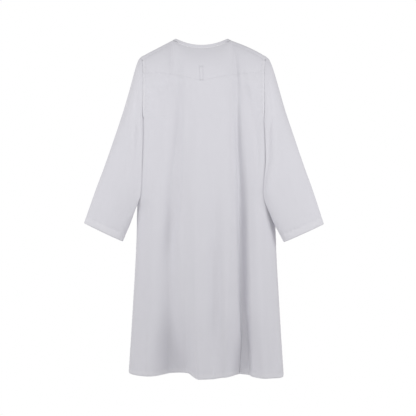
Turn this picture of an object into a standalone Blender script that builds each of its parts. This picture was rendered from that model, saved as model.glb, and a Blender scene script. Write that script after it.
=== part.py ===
"""Thobe robe in the form it has when worn, hollow, with no wearer inside.

The robe is a long straight A-line garment without a collar. The origin is at the height of the
shoulder points beside the neck, midway between them. The front faces -Y, the back +Y, and the
wearer's left is +X. All sizes are in metres. A position on the cloth is given by two numbers:
across, from 1 at the left seam to -1 at the right, and level, from -1 at the hem to 0 at the
armpit and 1 at the shoulder seam or neck edge.
"""

import bpy
import numpy as np
from mathutils import Vector

COLLECTION = "thobe_robe"

# Cloth and seams
WALL = 0.0015
SEAM_GAP = 0.0003
HALF_GAP = SEAM_GAP / 2

# Heights of the body
Z_HEM = -1.202
Z_ARMPIT = -0.292
Z_SHOULDER_TIP = -0.0625
Z_NECK_POINT = 0.001

# Shoulders, neck and armhole
X_SHOULDER_TIP = 0.2235
RIGHT_SHOULDER_ARCH = 0.0040
ARMHOLE_HALF_DEPTH = 0.0625
ARMHOLE_FLARE_POWER = 5.0
NECK_SHIFT = 0.0075
NECK_HALF_WIDTH = 0.0930
NECK_EDGE_SHARE = 0.46
NECK_DROP_POWER = 1.75
BINDING_WIDTH = 0.0130
BINDING_GAP = 0.0006
BINDING_WALL = 0.0015
BINDING_SPREAD = 0.0115
BINDING_SIDE_FALL = 0.0055
BINDING_MIDDLE_FALL = 0.0118
BINDING_MIDDLE_LEAN = 0.0060

# Roundness of the sections
SIDE_ROUNDNESS = 2.3
SHOULDER_ROUNDNESS = 1.9
MIDDLE_SLOPE_POWER = 3.0
NECK_SLOPE_REACH = 1.6
SPACING_MIX = 0.8
SEAM_STEP = 0.002

# The two halves of the body: which way they face, and their neck and depth
HALVES = {
    "back": {"facing": 1.0, "neck_depth": 0.062, "neck_drop": 0.0332, "depth_column": "back"},
    "front": {"facing": -1.0, "neck_depth": 0.078, "neck_drop": 0.086, "depth_column": "front"},
}

# Sections of the body, from the armpit to the hem
BODY_COLUMNS = ("z", "left", "right", "left_seam_y", "right_seam_y", "back", "front")
BODY_SECTIONS = (
    (-0.292, 0.2120, -0.2120, 0.000, 0.000, 0.130, 0.118),
    (-0.330, 0.2150, -0.2152, 0.000, 0.000, 0.131, 0.118),
    (-0.420, 0.2190, -0.2225, 0.000, 0.002, 0.134, 0.118),
    (-0.550, 0.2310, -0.2405, 0.000, 0.006, 0.136, 0.117),
    (-0.670, 0.2392, -0.2545, -0.002, 0.010, 0.135, 0.117),
    (-0.800, 0.2455, -0.2606, -0.006, 0.016, 0.133, 0.118),
    (-1.000, 0.2580, -0.2710, -0.016, 0.030, 0.129, 0.121),
    (-1.202, 0.2719, -0.2835, -0.029, 0.036, 0.125, 0.125),
)

# Folds that run down the cloth: where each crest or trough lies, and how far it is pushed out (+) or in (-)
FOLD_LINE_LEVELS = (-0.30, -0.61, -1.20)
FOLD_PUSH_LEVELS = (-0.08, -0.30, -0.61, -0.95, -1.20)
FOLD_COLUMNS = ("name", "x_blade", "x_waist", "x_hem",
                "yoke", "blade", "waist", "knee", "hem", "sharpness")
BACK_FOLDS = (
    ("left_seam", 0.212, 0.238, 0.272, 0.000, 0.000, 0.000, 0.000, 0.000, 0.0),
    ("left_crest", 0.180, 0.188, 0.205, 0.000, 0.002, 0.004, 0.000, -0.010, 0.0),
    ("left_trough", 0.089, 0.117, 0.118, -0.003, -0.010, -0.020, -0.030, -0.100, 0.3),
    ("left_floor", 0.060, 0.078, 0.061, 0.000, -0.002, -0.004, -0.016, -0.118, 0.0),
    ("middle_crest", 0.020, 0.024, 0.018, 0.000, 0.003, 0.004, 0.003, -0.012, 0.0),
    ("middle_dip", -0.020, -0.026, -0.032, 0.000, 0.002, 0.002, -0.004, -0.020, 0.0),
    ("inner_crest", -0.083, -0.088, -0.070, 0.000, 0.005, 0.010, 0.006, -0.052, 0.0),
    ("right_trough", -0.111, -0.133, -0.118, -0.005, -0.016, -0.030, -0.052, -0.128, 0.4),
    ("right_crest", -0.190, -0.205, -0.222, 0.000, 0.003, 0.006, 0.004, -0.020, 0.0),
    ("right_seam", -0.212, -0.250, -0.283, 0.000, 0.000, 0.000, 0.000, 0.000, 0.0),
)
FRONT_FOLDS = (
    ("left_seam", 0.212, 0.238, 0.272, 0.000, 0.000, 0.000, 0.000, 0.000, 0.0),
    ("left_crest", 0.176, 0.192, 0.214, 0.000, 0.002, 0.004, 0.003, 0.000, 0.0),
    ("left_trough", 0.120, 0.138, 0.150, 0.000, -0.006, -0.016, -0.034, -0.070, 0.4),
    ("left_lobe", 0.060, 0.070, 0.080, 0.000, 0.002, 0.004, 0.003, -0.004, 0.0),
    ("middle_trough", 0.020, 0.014, 0.004, 0.000, 0.000, -0.004, -0.020, -0.052, 0.2),
    ("right_lobe", -0.050, -0.058, -0.076, 0.000, 0.002, 0.005, 0.004, -0.002, 0.0),
    ("right_trough", -0.112, -0.128, -0.144, 0.000, -0.008, -0.020, -0.042, -0.078, 0.5),
    ("right_crest", -0.176, -0.196, -0.218, 0.000, 0.002, 0.004, 0.003, 0.000, 0.0),
    ("right_seam", -0.212, -0.250, -0.283, 0.000, 0.000, 0.000, 0.000, 0.000, 0.0),
)
TROUGH_POWER = 2.5

# Lower edge of the yoke, a soft point in the middle of the back
Z_YOKE_END = -0.1318
YOKE_POINT_DROP = 0.0393
YOKE_POINT_POWER = 2.6
YOKE_HALF_GAP = 0.0002

# Sleeves: the inner and outer edge of each section, and how far it stands behind and in front of them.
# The x values are distances from the middle, so each table serves its own side.
SLEEVE_COLUMNS = ("name", "in_x", "in_y", "in_z", "out_x", "out_y", "out_z", "back_half", "front_half")
LEFT_SLEEVE = (
    ("armhole", 0.2125, 0.000, -0.2920, 0.2240, 0.000, -0.0625, 0.0625, 0.0625),
    ("head", 0.2140, 0.010, -0.2950, 0.2345, 0.001, -0.0742, 0.0660, 0.0630),
    ("cap", 0.2137, 0.020, -0.3000, 0.2405, 0.002, -0.0920, 0.0700, 0.0640),
    ("upper", 0.2128, 0.037, -0.3140, 0.2600, 0.006, -0.1640, 0.0740, 0.0620),
    ("bicep", 0.2120, 0.050, -0.3560, 0.2868, 0.014, -0.2580, 0.0720, 0.0560),
    ("above_elbow", 0.2135, 0.064, -0.4400, 0.3180, 0.022, -0.3540, 0.0600, 0.0500),
    ("elbow", 0.2180, 0.068, -0.5450, 0.3500, 0.028, -0.4480, 0.0500, 0.0440),
    ("forearm", 0.2480, 0.054, -0.6330, 0.3870, 0.030, -0.5480, 0.0400, 0.0340),
    ("cuff", 0.2868, 0.042, -0.7260, 0.4266, 0.030, -0.6608, 0.0280, 0.0280),
)
RIGHT_SLEEVE = (
    ("armhole", 0.2125, 0.000, -0.2920, 0.2240, 0.000, -0.0625, 0.0625, 0.0625),
    ("head", 0.2140, 0.010, -0.2950, 0.2355, 0.001, -0.0745, 0.0660, 0.0630),
    ("cap", 0.2137, 0.020, -0.3000, 0.2425, 0.003, -0.0920, 0.0700, 0.0630),
    ("upper", 0.2130, 0.038, -0.3140, 0.2645, 0.008, -0.1640, 0.0730, 0.0600),
    ("bicep", 0.2135, 0.058, -0.3560, 0.2910, 0.016, -0.2580, 0.0680, 0.0540),
    ("above_elbow", 0.2160, 0.084, -0.4400, 0.3220, 0.027, -0.3540, 0.0540, 0.0400),
    ("elbow", 0.2070, 0.103, -0.5480, 0.3530, 0.036, -0.4480, 0.0420, 0.0300),
    ("forearm", 0.2350, 0.092, -0.6400, 0.3885, 0.040, -0.5480, 0.0340, 0.0260),
    ("cuff", 0.2815, 0.076, -0.7270, 0.4262, 0.042, -0.6640, 0.0280, 0.0280),
)
ARMHOLE_GAP = 0.0006
ARMHOLE_LIP = 0.0006
ARMHOLE_BLEND_ROWS = 3.0

# Placket, buttons and locker loop
PLACKET_HALF_SHARE = 0.0575
PLACKET_TOP_LEVEL = 0.985
PLACKET_BOTTOM_LEVEL = -0.105
PLACKET_WALL = 0.0013
PLACKET_CLEARANCE = 0.0006
BUTTON_LEVELS = (0.90, 0.60, 0.30, 0.00)
BUTTON_RADIUS = 0.0055
BUTTON_THICKNESS = 0.0024
BUTTON_CLEARANCE = 0.0005
LOOP_MIDDLE = 0.014
LOOP_HALF_SHARE = 0.0165
LOOP_TOP_LEVEL = 0.712
LOOP_BOTTOM_LEVEL = 0.502
LOOP_CLEARANCE = 0.0004
LOOP_BULGE = 0.0025
LOOP_WALL = 0.0010

# How finely each surface is divided
BACK_NECK_STEPS = 20
BACK_SHOULDER_STEPS = 12
FRONT_NECK_STEPS = 16
FRONT_SHOULDER_STEPS = 8
LOWER_ROWS = 15
ARMHOLE_ROWS = 6
YOKE_ROWS = 6
FRONT_CHEST_ROWS = 10
SLEEVE_ROWS = 16
SLEEVE_SIDES = 24
BUTTON_SIDES = 12

# Looks: linear colour, roughness, metallic
MATERIALS = {
    "cloth": ((0.80, 0.79, 0.84, 1.0), 0.85, 0.0),
    "sleeve_cloth": ((0.79, 0.78, 0.83, 1.0), 0.85, 0.0),
    "binding_cloth": ((0.78, 0.77, 0.82, 1.0), 0.85, 0.0),
    "button_white": ((0.83, 0.82, 0.84, 1.0), 0.35, 0.0),
}


def column(table, columns, name):
    """One named column of a table as an array."""
    return np.array([row[columns.index(name)] for row in table])


def smooth(share):
    """Rise from 0 to 1 with level ends."""
    share = np.clip(share, 0.0, 1.0)
    return share * share * (3.0 - 2.0 * share)


def flow(places, values, at):
    """Smooth curve through the given rows that never overshoots them (cubic pieces)."""
    places = np.asarray(places, dtype=float)
    values = np.asarray(values, dtype=float)
    if places[0] > places[-1]:
        places = places[::-1]
        values = values[::-1]
    steps = np.diff(places)
    slopes = np.diff(values) / steps
    tangents = np.concatenate(([slopes[0]], np.zeros(len(slopes) - 1), [slopes[-1]]))
    for row in range(1, len(slopes)):
        before = slopes[row - 1]
        after = slopes[row]
        if before * after > 0.0:
            tangents[row] = 2.0 * before * after / (before + after)
    at = np.clip(at, places[0], places[-1])
    piece = np.clip(np.searchsorted(places, at) - 1, 0, len(steps) - 1)
    share = (at - places[piece]) / steps[piece]
    blend = smooth(share)
    lead = share * (1.0 - share) ** 2 * steps[piece] * tangents[piece]
    trail = share ** 2 * (share - 1.0) * steps[piece] * tangents[piece + 1]
    return values[piece] * (1.0 - blend) + values[piece + 1] * blend + lead + trail


def seam_share(across):
    """Share of the half width at a column: closer columns near the side seams."""
    return (1.0 - SPACING_MIX) * across + SPACING_MIX * np.sin(np.pi * across / 2.0)


def armhole_x(height):
    """Distance of the armhole seam from the middle, from 0 at the armpit to 1 at the shoulder tip."""
    armpit = BODY_SECTIONS[0][BODY_COLUMNS.index("left")]
    return armpit + (X_SHOULDER_TIP - armpit) * height ** ARMHOLE_FLARE_POWER


def neck_curve(across, spread, half):
    """Point of the neck: spread is 0 at the finished edge and 1 at the binding's outer edge."""
    data = HALVES[half]
    turn = np.clip(across / NECK_EDGE_SHARE, -1.0, 1.0) * np.pi / 2.0
    middle = np.cos(turn)
    x = NECK_SHIFT + (NECK_HALF_WIDTH + BINDING_SPREAD * spread) * np.sin(turn)
    y = data["facing"] * (data["neck_depth"] + BINDING_MIDDLE_LEAN * spread) * middle
    fall = BINDING_SIDE_FALL + (BINDING_MIDDLE_FALL - BINDING_SIDE_FALL) * middle ** 2
    z = Z_NECK_POINT - data["neck_drop"] * middle ** NECK_DROP_POWER - fall * spread
    return x, y, z


def top_edge(across, half):
    """Upper edge of a body half: the shoulder seams and, between them, the neck."""
    spread = 1.0 + BINDING_GAP / BINDING_WIDTH
    x, y, z = neck_curve(across, spread, half)
    run = np.clip((np.abs(across) - NECK_EDGE_SHARE) / (1.0 - NECK_EDGE_SHARE), 0.0, 1.0)
    tip_x = np.sign(across) * X_SHOULDER_TIP
    arch = RIGHT_SHOULDER_ARCH * np.sin(np.pi * run) * (across < 0.0)
    return x + (tip_x - x) * run, y, z + (Z_SHOULDER_TIP - z) * run + arch


def fold_push(folds, x, z):
    """Push of all folds at a place: it eases from each fold line to the next across the cloth."""
    lines = []
    pushes = []
    for fold in folds:
        lines.append(flow(FOLD_LINE_LEVELS, fold[1:4], z))
        pushes.append(flow(FOLD_PUSH_LEVELS, fold[4:9], z))
    sharpness = column(folds, FOLD_COLUMNS, "sharpness")
    total = pushes[0]
    for index in range(len(folds) - 1):
        width = lines[index] - lines[index + 1]
        share = np.clip((lines[index] - x) / width, 0.0, 1.0)
        soft = smooth(share)
        into = sharpness[index + 1] * (share ** TROUGH_POWER - soft)
        out_of = sharpness[index] * (1.0 - (1.0 - share) ** TROUGH_POWER - soft)
        total = total + (pushes[index + 1] - pushes[index]) * (soft + into + out_of)
    return total


def body_surface(across, level, half):
    """Outer face of the body's cloth.

    Below the armpit each height has a rounded section that meets the other half at the side seams.
    Above it the columns arch over to the shoulder seam, and the section's end follows the armhole.
    """
    data = HALVES[half]
    height = np.clip(level, 0.0, 1.0)
    z_ring = Z_ARMPIT + np.clip(level, -1.0, 0.0) * (Z_ARMPIT - Z_HEM)
    levels = column(BODY_SECTIONS, BODY_COLUMNS, "z")
    ring = {name: flow(levels, column(BODY_SECTIONS, BODY_COLUMNS, name), z_ring) for name in BODY_COLUMNS[1:]}
    middle = (ring["left"] + ring["right"]) / 2.0
    half_width = (ring["left"] - ring["right"]) / 2.0
    half_width = half_width + armhole_x(height) - armhole_x(0.0)
    share = seam_share(across)
    top_x, top_y, top_z = top_edge(across, half)
    lean = height ** 1.5
    x = middle + half_width * (share * (1.0 - lean) + top_x / X_SHOULDER_TIP * lean)
    z = z_ring + (top_z - Z_ARMPIT) * height
    near_seam = np.abs(share)
    corner = 1.0 / SIDE_ROUNDNESS + (0.8 - 1.0 / SIDE_ROUNDNESS) * smooth(height / 0.5)
    rounding = np.clip(1.0 - near_seam ** SIDE_ROUNDNESS, 0.0, 1.0) ** corner
    over_shoulder = np.clip(1.0 - height ** SHOULDER_ROUNDNESS, 0.0, 1.0) ** (1.0 / SHOULDER_ROUNDNESS)
    down_the_neck = 1.0 - height ** MIDDLE_SLOPE_POWER
    neck_part = smooth(NECK_SLOPE_REACH * (1.0 - np.abs(across) / NECK_EDGE_SHARE))
    arch = over_shoulder + (down_the_neck - over_shoulder) * neck_part
    armhole = ARMHOLE_HALF_DEPTH * 2.0 * np.sqrt(height * (1.0 - height))
    armhole_reach = near_seam ** (14.0 - 11.0 * smooth(height / 0.5))
    folds = BACK_FOLDS if half == "back" else FRONT_FOLDS
    fading = (1.0 - height ** 6) * (1.0 - near_seam ** 10)
    push = fold_push(folds, x, z) * fading
    depth = ring[data["depth_column"]] * rounding * arch + armhole * armhole_reach + push
    seam_y = ring["left_seam_y"] + (ring["right_seam_y"] - ring["left_seam_y"]) * (1.0 - share) / 2.0
    y = seam_y + data["facing"] * (depth + HALF_GAP) + top_y * height ** 2
    return np.stack((x, y, z), axis=-1)


def body_columns(neck_steps, shoulder_steps):
    """Columns across a body half, with one exactly at each end of the neck."""
    left = np.linspace(1.0, NECK_EDGE_SHARE, shoulder_steps + 1)
    left = np.insert(left, 1, 1.0 - SEAM_STEP)
    neck = np.linspace(NECK_EDGE_SHARE, -NECK_EDGE_SHARE, neck_steps + 1)
    return np.concatenate((left, neck[1:-1], -left[::-1]))


def yoke_level(across):
    """Level of the yoke's lower edge at a column."""
    top_z = top_edge(across, "back")[2]
    z = Z_YOKE_END - YOKE_POINT_DROP * (1.0 - np.abs(across)) ** YOKE_POINT_POWER
    return (z - Z_ARMPIT) / (top_z - Z_ARMPIT)


def eased_rows(count):
    """Rows from 0 to 1 that close up toward 1, where the cloth turns over the shoulder."""
    rows = np.sin(np.linspace(0.0, np.pi / 2.0, count + 1))
    return np.insert(rows, count, 1.0 - SEAM_STEP ** 1.2)


def grid_object(name, points, material, wall, outward, closed=False, clear=0.0):
    """A sheet through a grid of points, thickened inward into a wall.

    outward is 1 or -1 and says which side of the grid's own normals is the outside.
    clear moves the whole sheet out along its normals first.
    """
    rows, columns = points.shape[:2]
    if clear:
        points = points + grid_normals(points) * clear * outward
    index = np.arange(rows * columns).reshape(rows, columns)
    if closed:
        index = np.concatenate((index, index[:, :1]), axis=1)
    corners = (index[:-1, :-1], index[:-1, 1:], index[1:, 1:], index[1:, :-1])
    faces = np.stack(corners, axis=-1).reshape(-1, 4)
    if outward < 0:
        faces = faces[:, ::-1]
    mesh = bpy.data.meshes.new(name)
    mesh.from_pydata(points.reshape(-1, 3).tolist(), [], faces.tolist())
    mesh.shade_smooth()
    mesh.materials.append(material)
    piece = bpy.data.objects.new(name, mesh)
    bpy.data.collections[COLLECTION].objects.link(piece)
    shell = piece.modifiers.new("wall", "SOLIDIFY")
    shell.thickness = wall
    shell.offset = -1.0
    shell.use_even_offset = True
    return piece


def grid_normals(points):
    """Unit normals of a grid: along the rows crossed with along the columns."""
    along = np.gradient(points, axis=1)
    down = np.gradient(points, axis=0)
    normals = np.cross(along, down)
    return normals / np.linalg.norm(normals, axis=-1, keepdims=True)


def make_material(name):
    """A plain material with its own colour, roughness and metallic value."""
    colour, roughness, metallic = MATERIALS[name]
    material = bpy.data.materials.new(name)
    material.use_nodes = True
    shader = material.node_tree.nodes["Principled BSDF"]
    shader.inputs["Base Color"].default_value = colour
    shader.inputs["Roughness"].default_value = roughness
    shader.inputs["Metallic"].default_value = metallic
    material.diffuse_color = colour
    return material


def make_back(materials):
    """Back panel, from the hem up to the yoke seam."""
    across = body_columns(BACK_NECK_STEPS, BACK_SHOULDER_STEPS)
    seam = yoke_level(across) - YOKE_HALF_GAP / (Z_SHOULDER_TIP - Z_ARMPIT)
    lower = np.linspace(-1.0, 0.0, LOWER_ROWS + 1)[:-1, None] * np.ones_like(across)
    upper = np.linspace(0.0, 1.0, ARMHOLE_ROWS + 1)[:, None] * seam
    level = np.concatenate((lower, upper))
    points = body_surface(across[None, :], level, "back")
    return grid_object("back_panel", points, materials["cloth"], WALL, 1)


def make_yoke(materials):
    """Back yoke, from the yoke seam over to the shoulder seams and the neck."""
    across = body_columns(BACK_NECK_STEPS, BACK_SHOULDER_STEPS)
    seam = yoke_level(across) + YOKE_HALF_GAP / (Z_SHOULDER_TIP - Z_ARMPIT)
    level = seam + (1.0 - seam) * eased_rows(YOKE_ROWS)[:, None]
    points = body_surface(across[None, :], level, "back")
    return grid_object("back_yoke", points, materials["cloth"], WALL, 1)


def make_front(materials):
    """Front panel, from the hem to the shoulder seams and the neck."""
    across = body_columns(FRONT_NECK_STEPS, FRONT_SHOULDER_STEPS)
    lower = np.linspace(-1.0, 0.0, LOWER_ROWS + 1)[:-1]
    level = np.concatenate((lower, eased_rows(FRONT_CHEST_ROWS)))
    points = body_surface(across[None, :], level[:, None], "front")
    return grid_object("front_panel", points, materials["cloth"], WALL, -1)


def sleeve_surface(table, side, along, turn):
    """Outer face of a sleeve: oval sections between its inner and outer edge.

    along runs from 0 at the armhole to 1 at the cuff, and turn goes round each section from the
    outer edge through the back. The first sections follow the curve of the armhole seam.
    """
    rows = np.linspace(0.0, 1.0, len(table))
    size = {name: flow(rows, column(table, SLEEVE_COLUMNS, name), along) for name in SLEEVE_COLUMNS[1:]}
    toward_out = (1.0 + np.cos(turn)) / 2.0
    x = size["in_x"] + (size["out_x"] - size["in_x"]) * toward_out
    swing = np.sin(turn)
    depth = np.where(swing > 0.0, size["back_half"], size["front_half"])
    y = size["in_y"] + (size["out_y"] - size["in_y"]) * toward_out + depth * swing
    z = size["in_z"] + (size["out_z"] - size["in_z"]) * toward_out
    first = table[0]
    straight = first[1] + (first[4] - first[1]) * toward_out
    follow = 1.0 - smooth(along * (len(table) - 1) / ARMHOLE_BLEND_ROWS)
    x = x + (armhole_x(toward_out) + ARMHOLE_GAP - straight) * follow
    return np.stack((side * x, y, z), axis=-1)


def make_sleeve(name, table, side, materials):
    """One sleeve, a tube that is open at the armhole and at the cuff."""
    along = np.linspace(0.0, 1.0, SLEEVE_ROWS + 1)[:, None]
    turn = np.linspace(0.0, 2.0 * np.pi, SLEEVE_SIDES, endpoint=False)[None, :]
    points = sleeve_surface(table, side, along, turn)
    lip = points[:1] + np.array((side * ARMHOLE_LIP, 0.0, 0.0))
    points = np.concatenate((points[:1], lip, points[1:]))
    return grid_object(name, points, materials["sleeve_cloth"], WALL, -side, closed=True)


def make_binding(materials):
    """Neck binding: a narrow band all round the neck, with its ends side by side at the front."""
    back = np.linspace(NECK_EDGE_SHARE, -NECK_EDGE_SHARE, BACK_NECK_STEPS + 1)
    front = np.linspace(NECK_EDGE_SHARE, -NECK_EDGE_SHARE, FRONT_NECK_STEPS + 1)
    middle = FRONT_NECK_STEPS // 2
    slit = HALF_GAP / NECK_HALF_WIDTH * NECK_EDGE_SHARE
    left = np.concatenate(([slit], front[:middle][::-1]))
    right = np.concatenate((front[middle + 1:][::-1], [-slit]))
    spread = np.linspace(0.0, 1.0, 3)[:, None]
    around = [
        np.stack(neck_curve(left[None, :-1], spread, "front"), axis=-1),
        np.stack(neck_curve(back[None, :], spread, "back"), axis=-1),
        np.stack(neck_curve(right[None, 1:], spread, "front"), axis=-1),
    ]
    points = np.concatenate(around, axis=1)
    return grid_object("neck_binding", points, materials["binding_cloth"], BINDING_WALL, -1)


def strip_points(levels, middle, half_share, half):
    """A narrow upright strip of the body's surface, three columns wide."""
    across = middle + half_share * np.array((1.0, 0.0, -1.0))
    return body_surface(across[None, :], levels[:, None], half)


def make_placket(materials):
    """Placket strip on the front opening, made from the front's points moved out."""
    levels = np.linspace(PLACKET_BOTTOM_LEVEL, PLACKET_TOP_LEVEL, FRONT_CHEST_ROWS + 3)
    points = strip_points(levels, 0.0, PLACKET_HALF_SHARE, "front")
    clear = PLACKET_CLEARANCE + PLACKET_WALL
    return grid_object("placket", points, materials["cloth"], PLACKET_WALL, -1, clear=clear)


def make_loop(materials):
    """Locker loop at the middle of the yoke seam, made from the yoke's points moved out."""
    levels = np.linspace(LOOP_BOTTOM_LEVEL, LOOP_TOP_LEVEL, 9)
    points = strip_points(levels, LOOP_MIDDLE, LOOP_HALF_SHARE, "back")
    bulge = LOOP_BULGE * np.sin(np.linspace(0.0, np.pi, len(levels)))[:, None, None]
    points = points + grid_normals(points) * bulge
    clear = LOOP_CLEARANCE + LOOP_WALL
    return grid_object("locker_loop", points, materials["binding_cloth"], LOOP_WALL, 1, clear=clear)


def make_button(name, level, materials):
    """A small turned button with a raised rim, lying on the placket."""
    points = strip_points(level + np.array((-0.02, 0.0, 0.02)), 0.0, PLACKET_HALF_SHARE, "front")
    normal = -grid_normals(points)[1, 1]
    rim = BUTTON_RADIUS
    thick = BUTTON_THICKNESS
    profile = (
        (0.0, 0.6 * thick),
        (0.55 * rim, 0.6 * thick),
        (0.75 * rim, thick),
        (0.92 * rim, thick),
        (rim, 0.55 * thick),
        (0.85 * rim, 0.0),
        (0.0, 0.0),
    )
    mesh = bpy.data.meshes.new(name)
    edges = [(index, index + 1) for index in range(len(profile) - 1)]
    mesh.from_pydata([(radius, 0.0, height) for radius, height in profile], edges, [])
    mesh.materials.append(materials["button_white"])
    button = bpy.data.objects.new(name, mesh)
    bpy.data.collections[COLLECTION].objects.link(button)
    turned = button.modifiers.new("turned", "SCREW")
    turned.steps = BUTTON_SIDES
    turned.render_steps = BUTTON_SIDES
    turned.use_merge_vertices = True
    turned.merge_threshold = 0.00001
    turned.use_smooth_shade = True
    height = PLACKET_CLEARANCE + PLACKET_WALL + BUTTON_CLEARANCE
    button.location = Vector(points[1, 1]) + Vector(normal) * height
    button.rotation_mode = "QUATERNION"
    button.rotation_quaternion = Vector(normal).to_track_quat("Z", "Y")
    return button


def clear_scene():
    """Remove every object and start the robe's own collection."""
    for item in list(bpy.data.objects):
        bpy.data.objects.remove(item, do_unlink=True)
    collection = bpy.data.collections.new(COLLECTION)
    bpy.context.scene.collection.children.link(collection)


def main():
    clear_scene()
    materials = {name: make_material(name) for name in MATERIALS}
    make_back(materials)
    make_yoke(materials)
    make_front(materials)
    make_sleeve("sleeve_left", LEFT_SLEEVE, 1.0, materials)
    make_sleeve("sleeve_right", RIGHT_SLEEVE, -1.0, materials)
    make_binding(materials)
    make_placket(materials)
    make_loop(materials)
    for number, level in enumerate(BUTTON_LEVELS, start=1):
        make_button("button_%d" % number, level, materials)


main()
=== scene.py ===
"""Looks of the thobe robe, seen from behind, in its worn and hollow form.

Each piece of cloth is a thin shell on the form of its solid, with its creases, seams, hems and stitches.
Lengths are in metres. +Z is up, the front faces -Y, the back +Y, and the wearer's left is +X.
A place on the body's cloth has two numbers: across, from 1 at the left seam to -1 at the right, and level,
from -1 at the hem to 0 at the armpit and 1 at the shoulder seam or the neck.
A grid's first row is its bottom edge and its first column its left edge. A sleeve's first row is at the
armhole, and the neck binding's is at the opening.
"""

import math
import bpy
import numpy as np
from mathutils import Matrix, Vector


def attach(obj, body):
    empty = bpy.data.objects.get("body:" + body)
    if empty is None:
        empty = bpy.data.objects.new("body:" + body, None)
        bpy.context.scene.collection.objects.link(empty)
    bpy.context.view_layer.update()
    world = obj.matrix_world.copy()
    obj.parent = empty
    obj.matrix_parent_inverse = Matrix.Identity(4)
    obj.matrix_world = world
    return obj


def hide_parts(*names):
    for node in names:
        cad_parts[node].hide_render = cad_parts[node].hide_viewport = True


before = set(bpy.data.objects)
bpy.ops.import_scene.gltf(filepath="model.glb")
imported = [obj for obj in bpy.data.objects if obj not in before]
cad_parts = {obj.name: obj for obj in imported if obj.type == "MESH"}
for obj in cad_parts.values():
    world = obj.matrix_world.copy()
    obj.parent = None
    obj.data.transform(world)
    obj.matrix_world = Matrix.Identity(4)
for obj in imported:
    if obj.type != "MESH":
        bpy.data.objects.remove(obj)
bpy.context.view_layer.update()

# The photograph's camera: straight at the back, a little to one side of the middle
CAMERA_PLACE = (-0.0151, 3.0, -0.6073)
PHOTO_WIDTH = 1.4976
SENSOR = 36.0
FLOOR_HEIGHT = -1.62
FLOOR_SPAN = ((-2.4, 2.4), (-1.04, 4.0))

# Each lamp: its place, what it points at, its side in metres and its power in watts
LIGHTS = (
    ("left_side", (1.5, 1.0, -0.16), (0.1, 0.0, -0.38), 0.9, 10.2),
    ("right_side", (-1.5, 1.0, -0.16), (-0.1, 0.0, -0.38), 0.9, 11.0),
    ("middle", (0.1, 1.6, 0.66), (0.0, 0.1, -0.28), 0.8, 5.9),
    ("front", (0.6, -2.6, 0.2), (0.0, 0.0, -0.50), 2.0, 40.0),
)
WORLD_LIGHT = 0.52

# The solids' sizes, but for closer seams at the armholes and the yoke, a flatter loop, the back's right
# trough and the inner edges of the sleeves' first sections, which differ by a few millimetres
Z_HEM = -1.202
Z_ARMPIT = -0.292
Z_SHOULDER_TIP = -0.0625
Z_NECK_POINT = 0.001
X_SHOULDER_TIP = 0.2235
RIGHT_SHOULDER_ARCH = 0.0040
ARMHOLE_HALF_DEPTH = 0.0625
ARMHOLE_FLARE_POWER = 5.0
ARMHOLE_GAP = 0.0003
ARMHOLE_BLEND_ROWS = 3.0
HALF_GAP = 0.00015
NECK_SHIFT = 0.0075
NECK_HALF_WIDTH = 0.0930
NECK_EDGE_SHARE = 0.46
NECK_DROP_POWER = 1.75
BINDING_WIDTH = 0.0130
BINDING_GAP = 0.0006
BINDING_SPREAD = 0.0115
BINDING_SIDE_FALL = 0.0055
BINDING_MIDDLE_FALL = 0.0118
BINDING_MIDDLE_LEAN = 0.0060
SIDE_ROUNDNESS = 2.3
SHOULDER_ROUNDNESS = 1.9
SHOULDER_LEAN_POWER = 1.5
SHOULDER_CORNER = 0.8
CORNER_BLEND_HEIGHT = 0.5
MIDDLE_SLOPE_POWER = 3.0
NECK_SLOPE_REACH = 1.6
ARMHOLE_POWER_LOW = 14.0
ARMHOLE_POWER_HIGH = 3.0
SPACING_MIX = 0.8
SEAM_STEP = 0.002
TROUGH_POWER = 2.5
FOLD_FADE_UP = 6
FOLD_FADE_SIDE = 10
Z_YOKE_END = -0.1318
YOKE_POINT_DROP = 0.0393
YOKE_POINT_POWER = 2.6
YOKE_HALF_GAP = 0.00003

HALVES = {
    "back": {"facing": 1.0, "neck_depth": 0.062, "neck_drop": 0.0332},
    "front": {"facing": -1.0, "neck_depth": 0.078, "neck_drop": 0.086},
}
BODY_COLUMNS = ("z", "left", "right", "left_seam_y", "right_seam_y", "back", "front")
BODY_SECTIONS = (
    (-0.292, 0.2120, -0.2120, 0.000, 0.000, 0.130, 0.118),
    (-0.330, 0.2150, -0.2152, 0.000, 0.000, 0.131, 0.118),
    (-0.420, 0.2190, -0.2225, 0.000, 0.002, 0.134, 0.118),
    (-0.550, 0.2310, -0.2405, 0.000, 0.006, 0.136, 0.117),
    (-0.670, 0.2392, -0.2545, -0.002, 0.010, 0.135, 0.117),
    (-0.800, 0.2455, -0.2606, -0.006, 0.016, 0.133, 0.118),
    (-1.000, 0.2580, -0.2710, -0.016, 0.030, 0.129, 0.121),
    (-1.202, 0.2719, -0.2835, -0.029, 0.036, 0.125, 0.125),
)
FOLD_LINE_LEVELS = (-0.30, -0.61, -1.20)
FOLD_PUSH_LEVELS = (-0.08, -0.30, -0.61, -0.95, -1.20)
FOLD_COLUMNS = ("name", "x_blade", "x_waist", "x_hem",
                "yoke", "blade", "waist", "knee", "hem", "sharpness")
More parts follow.
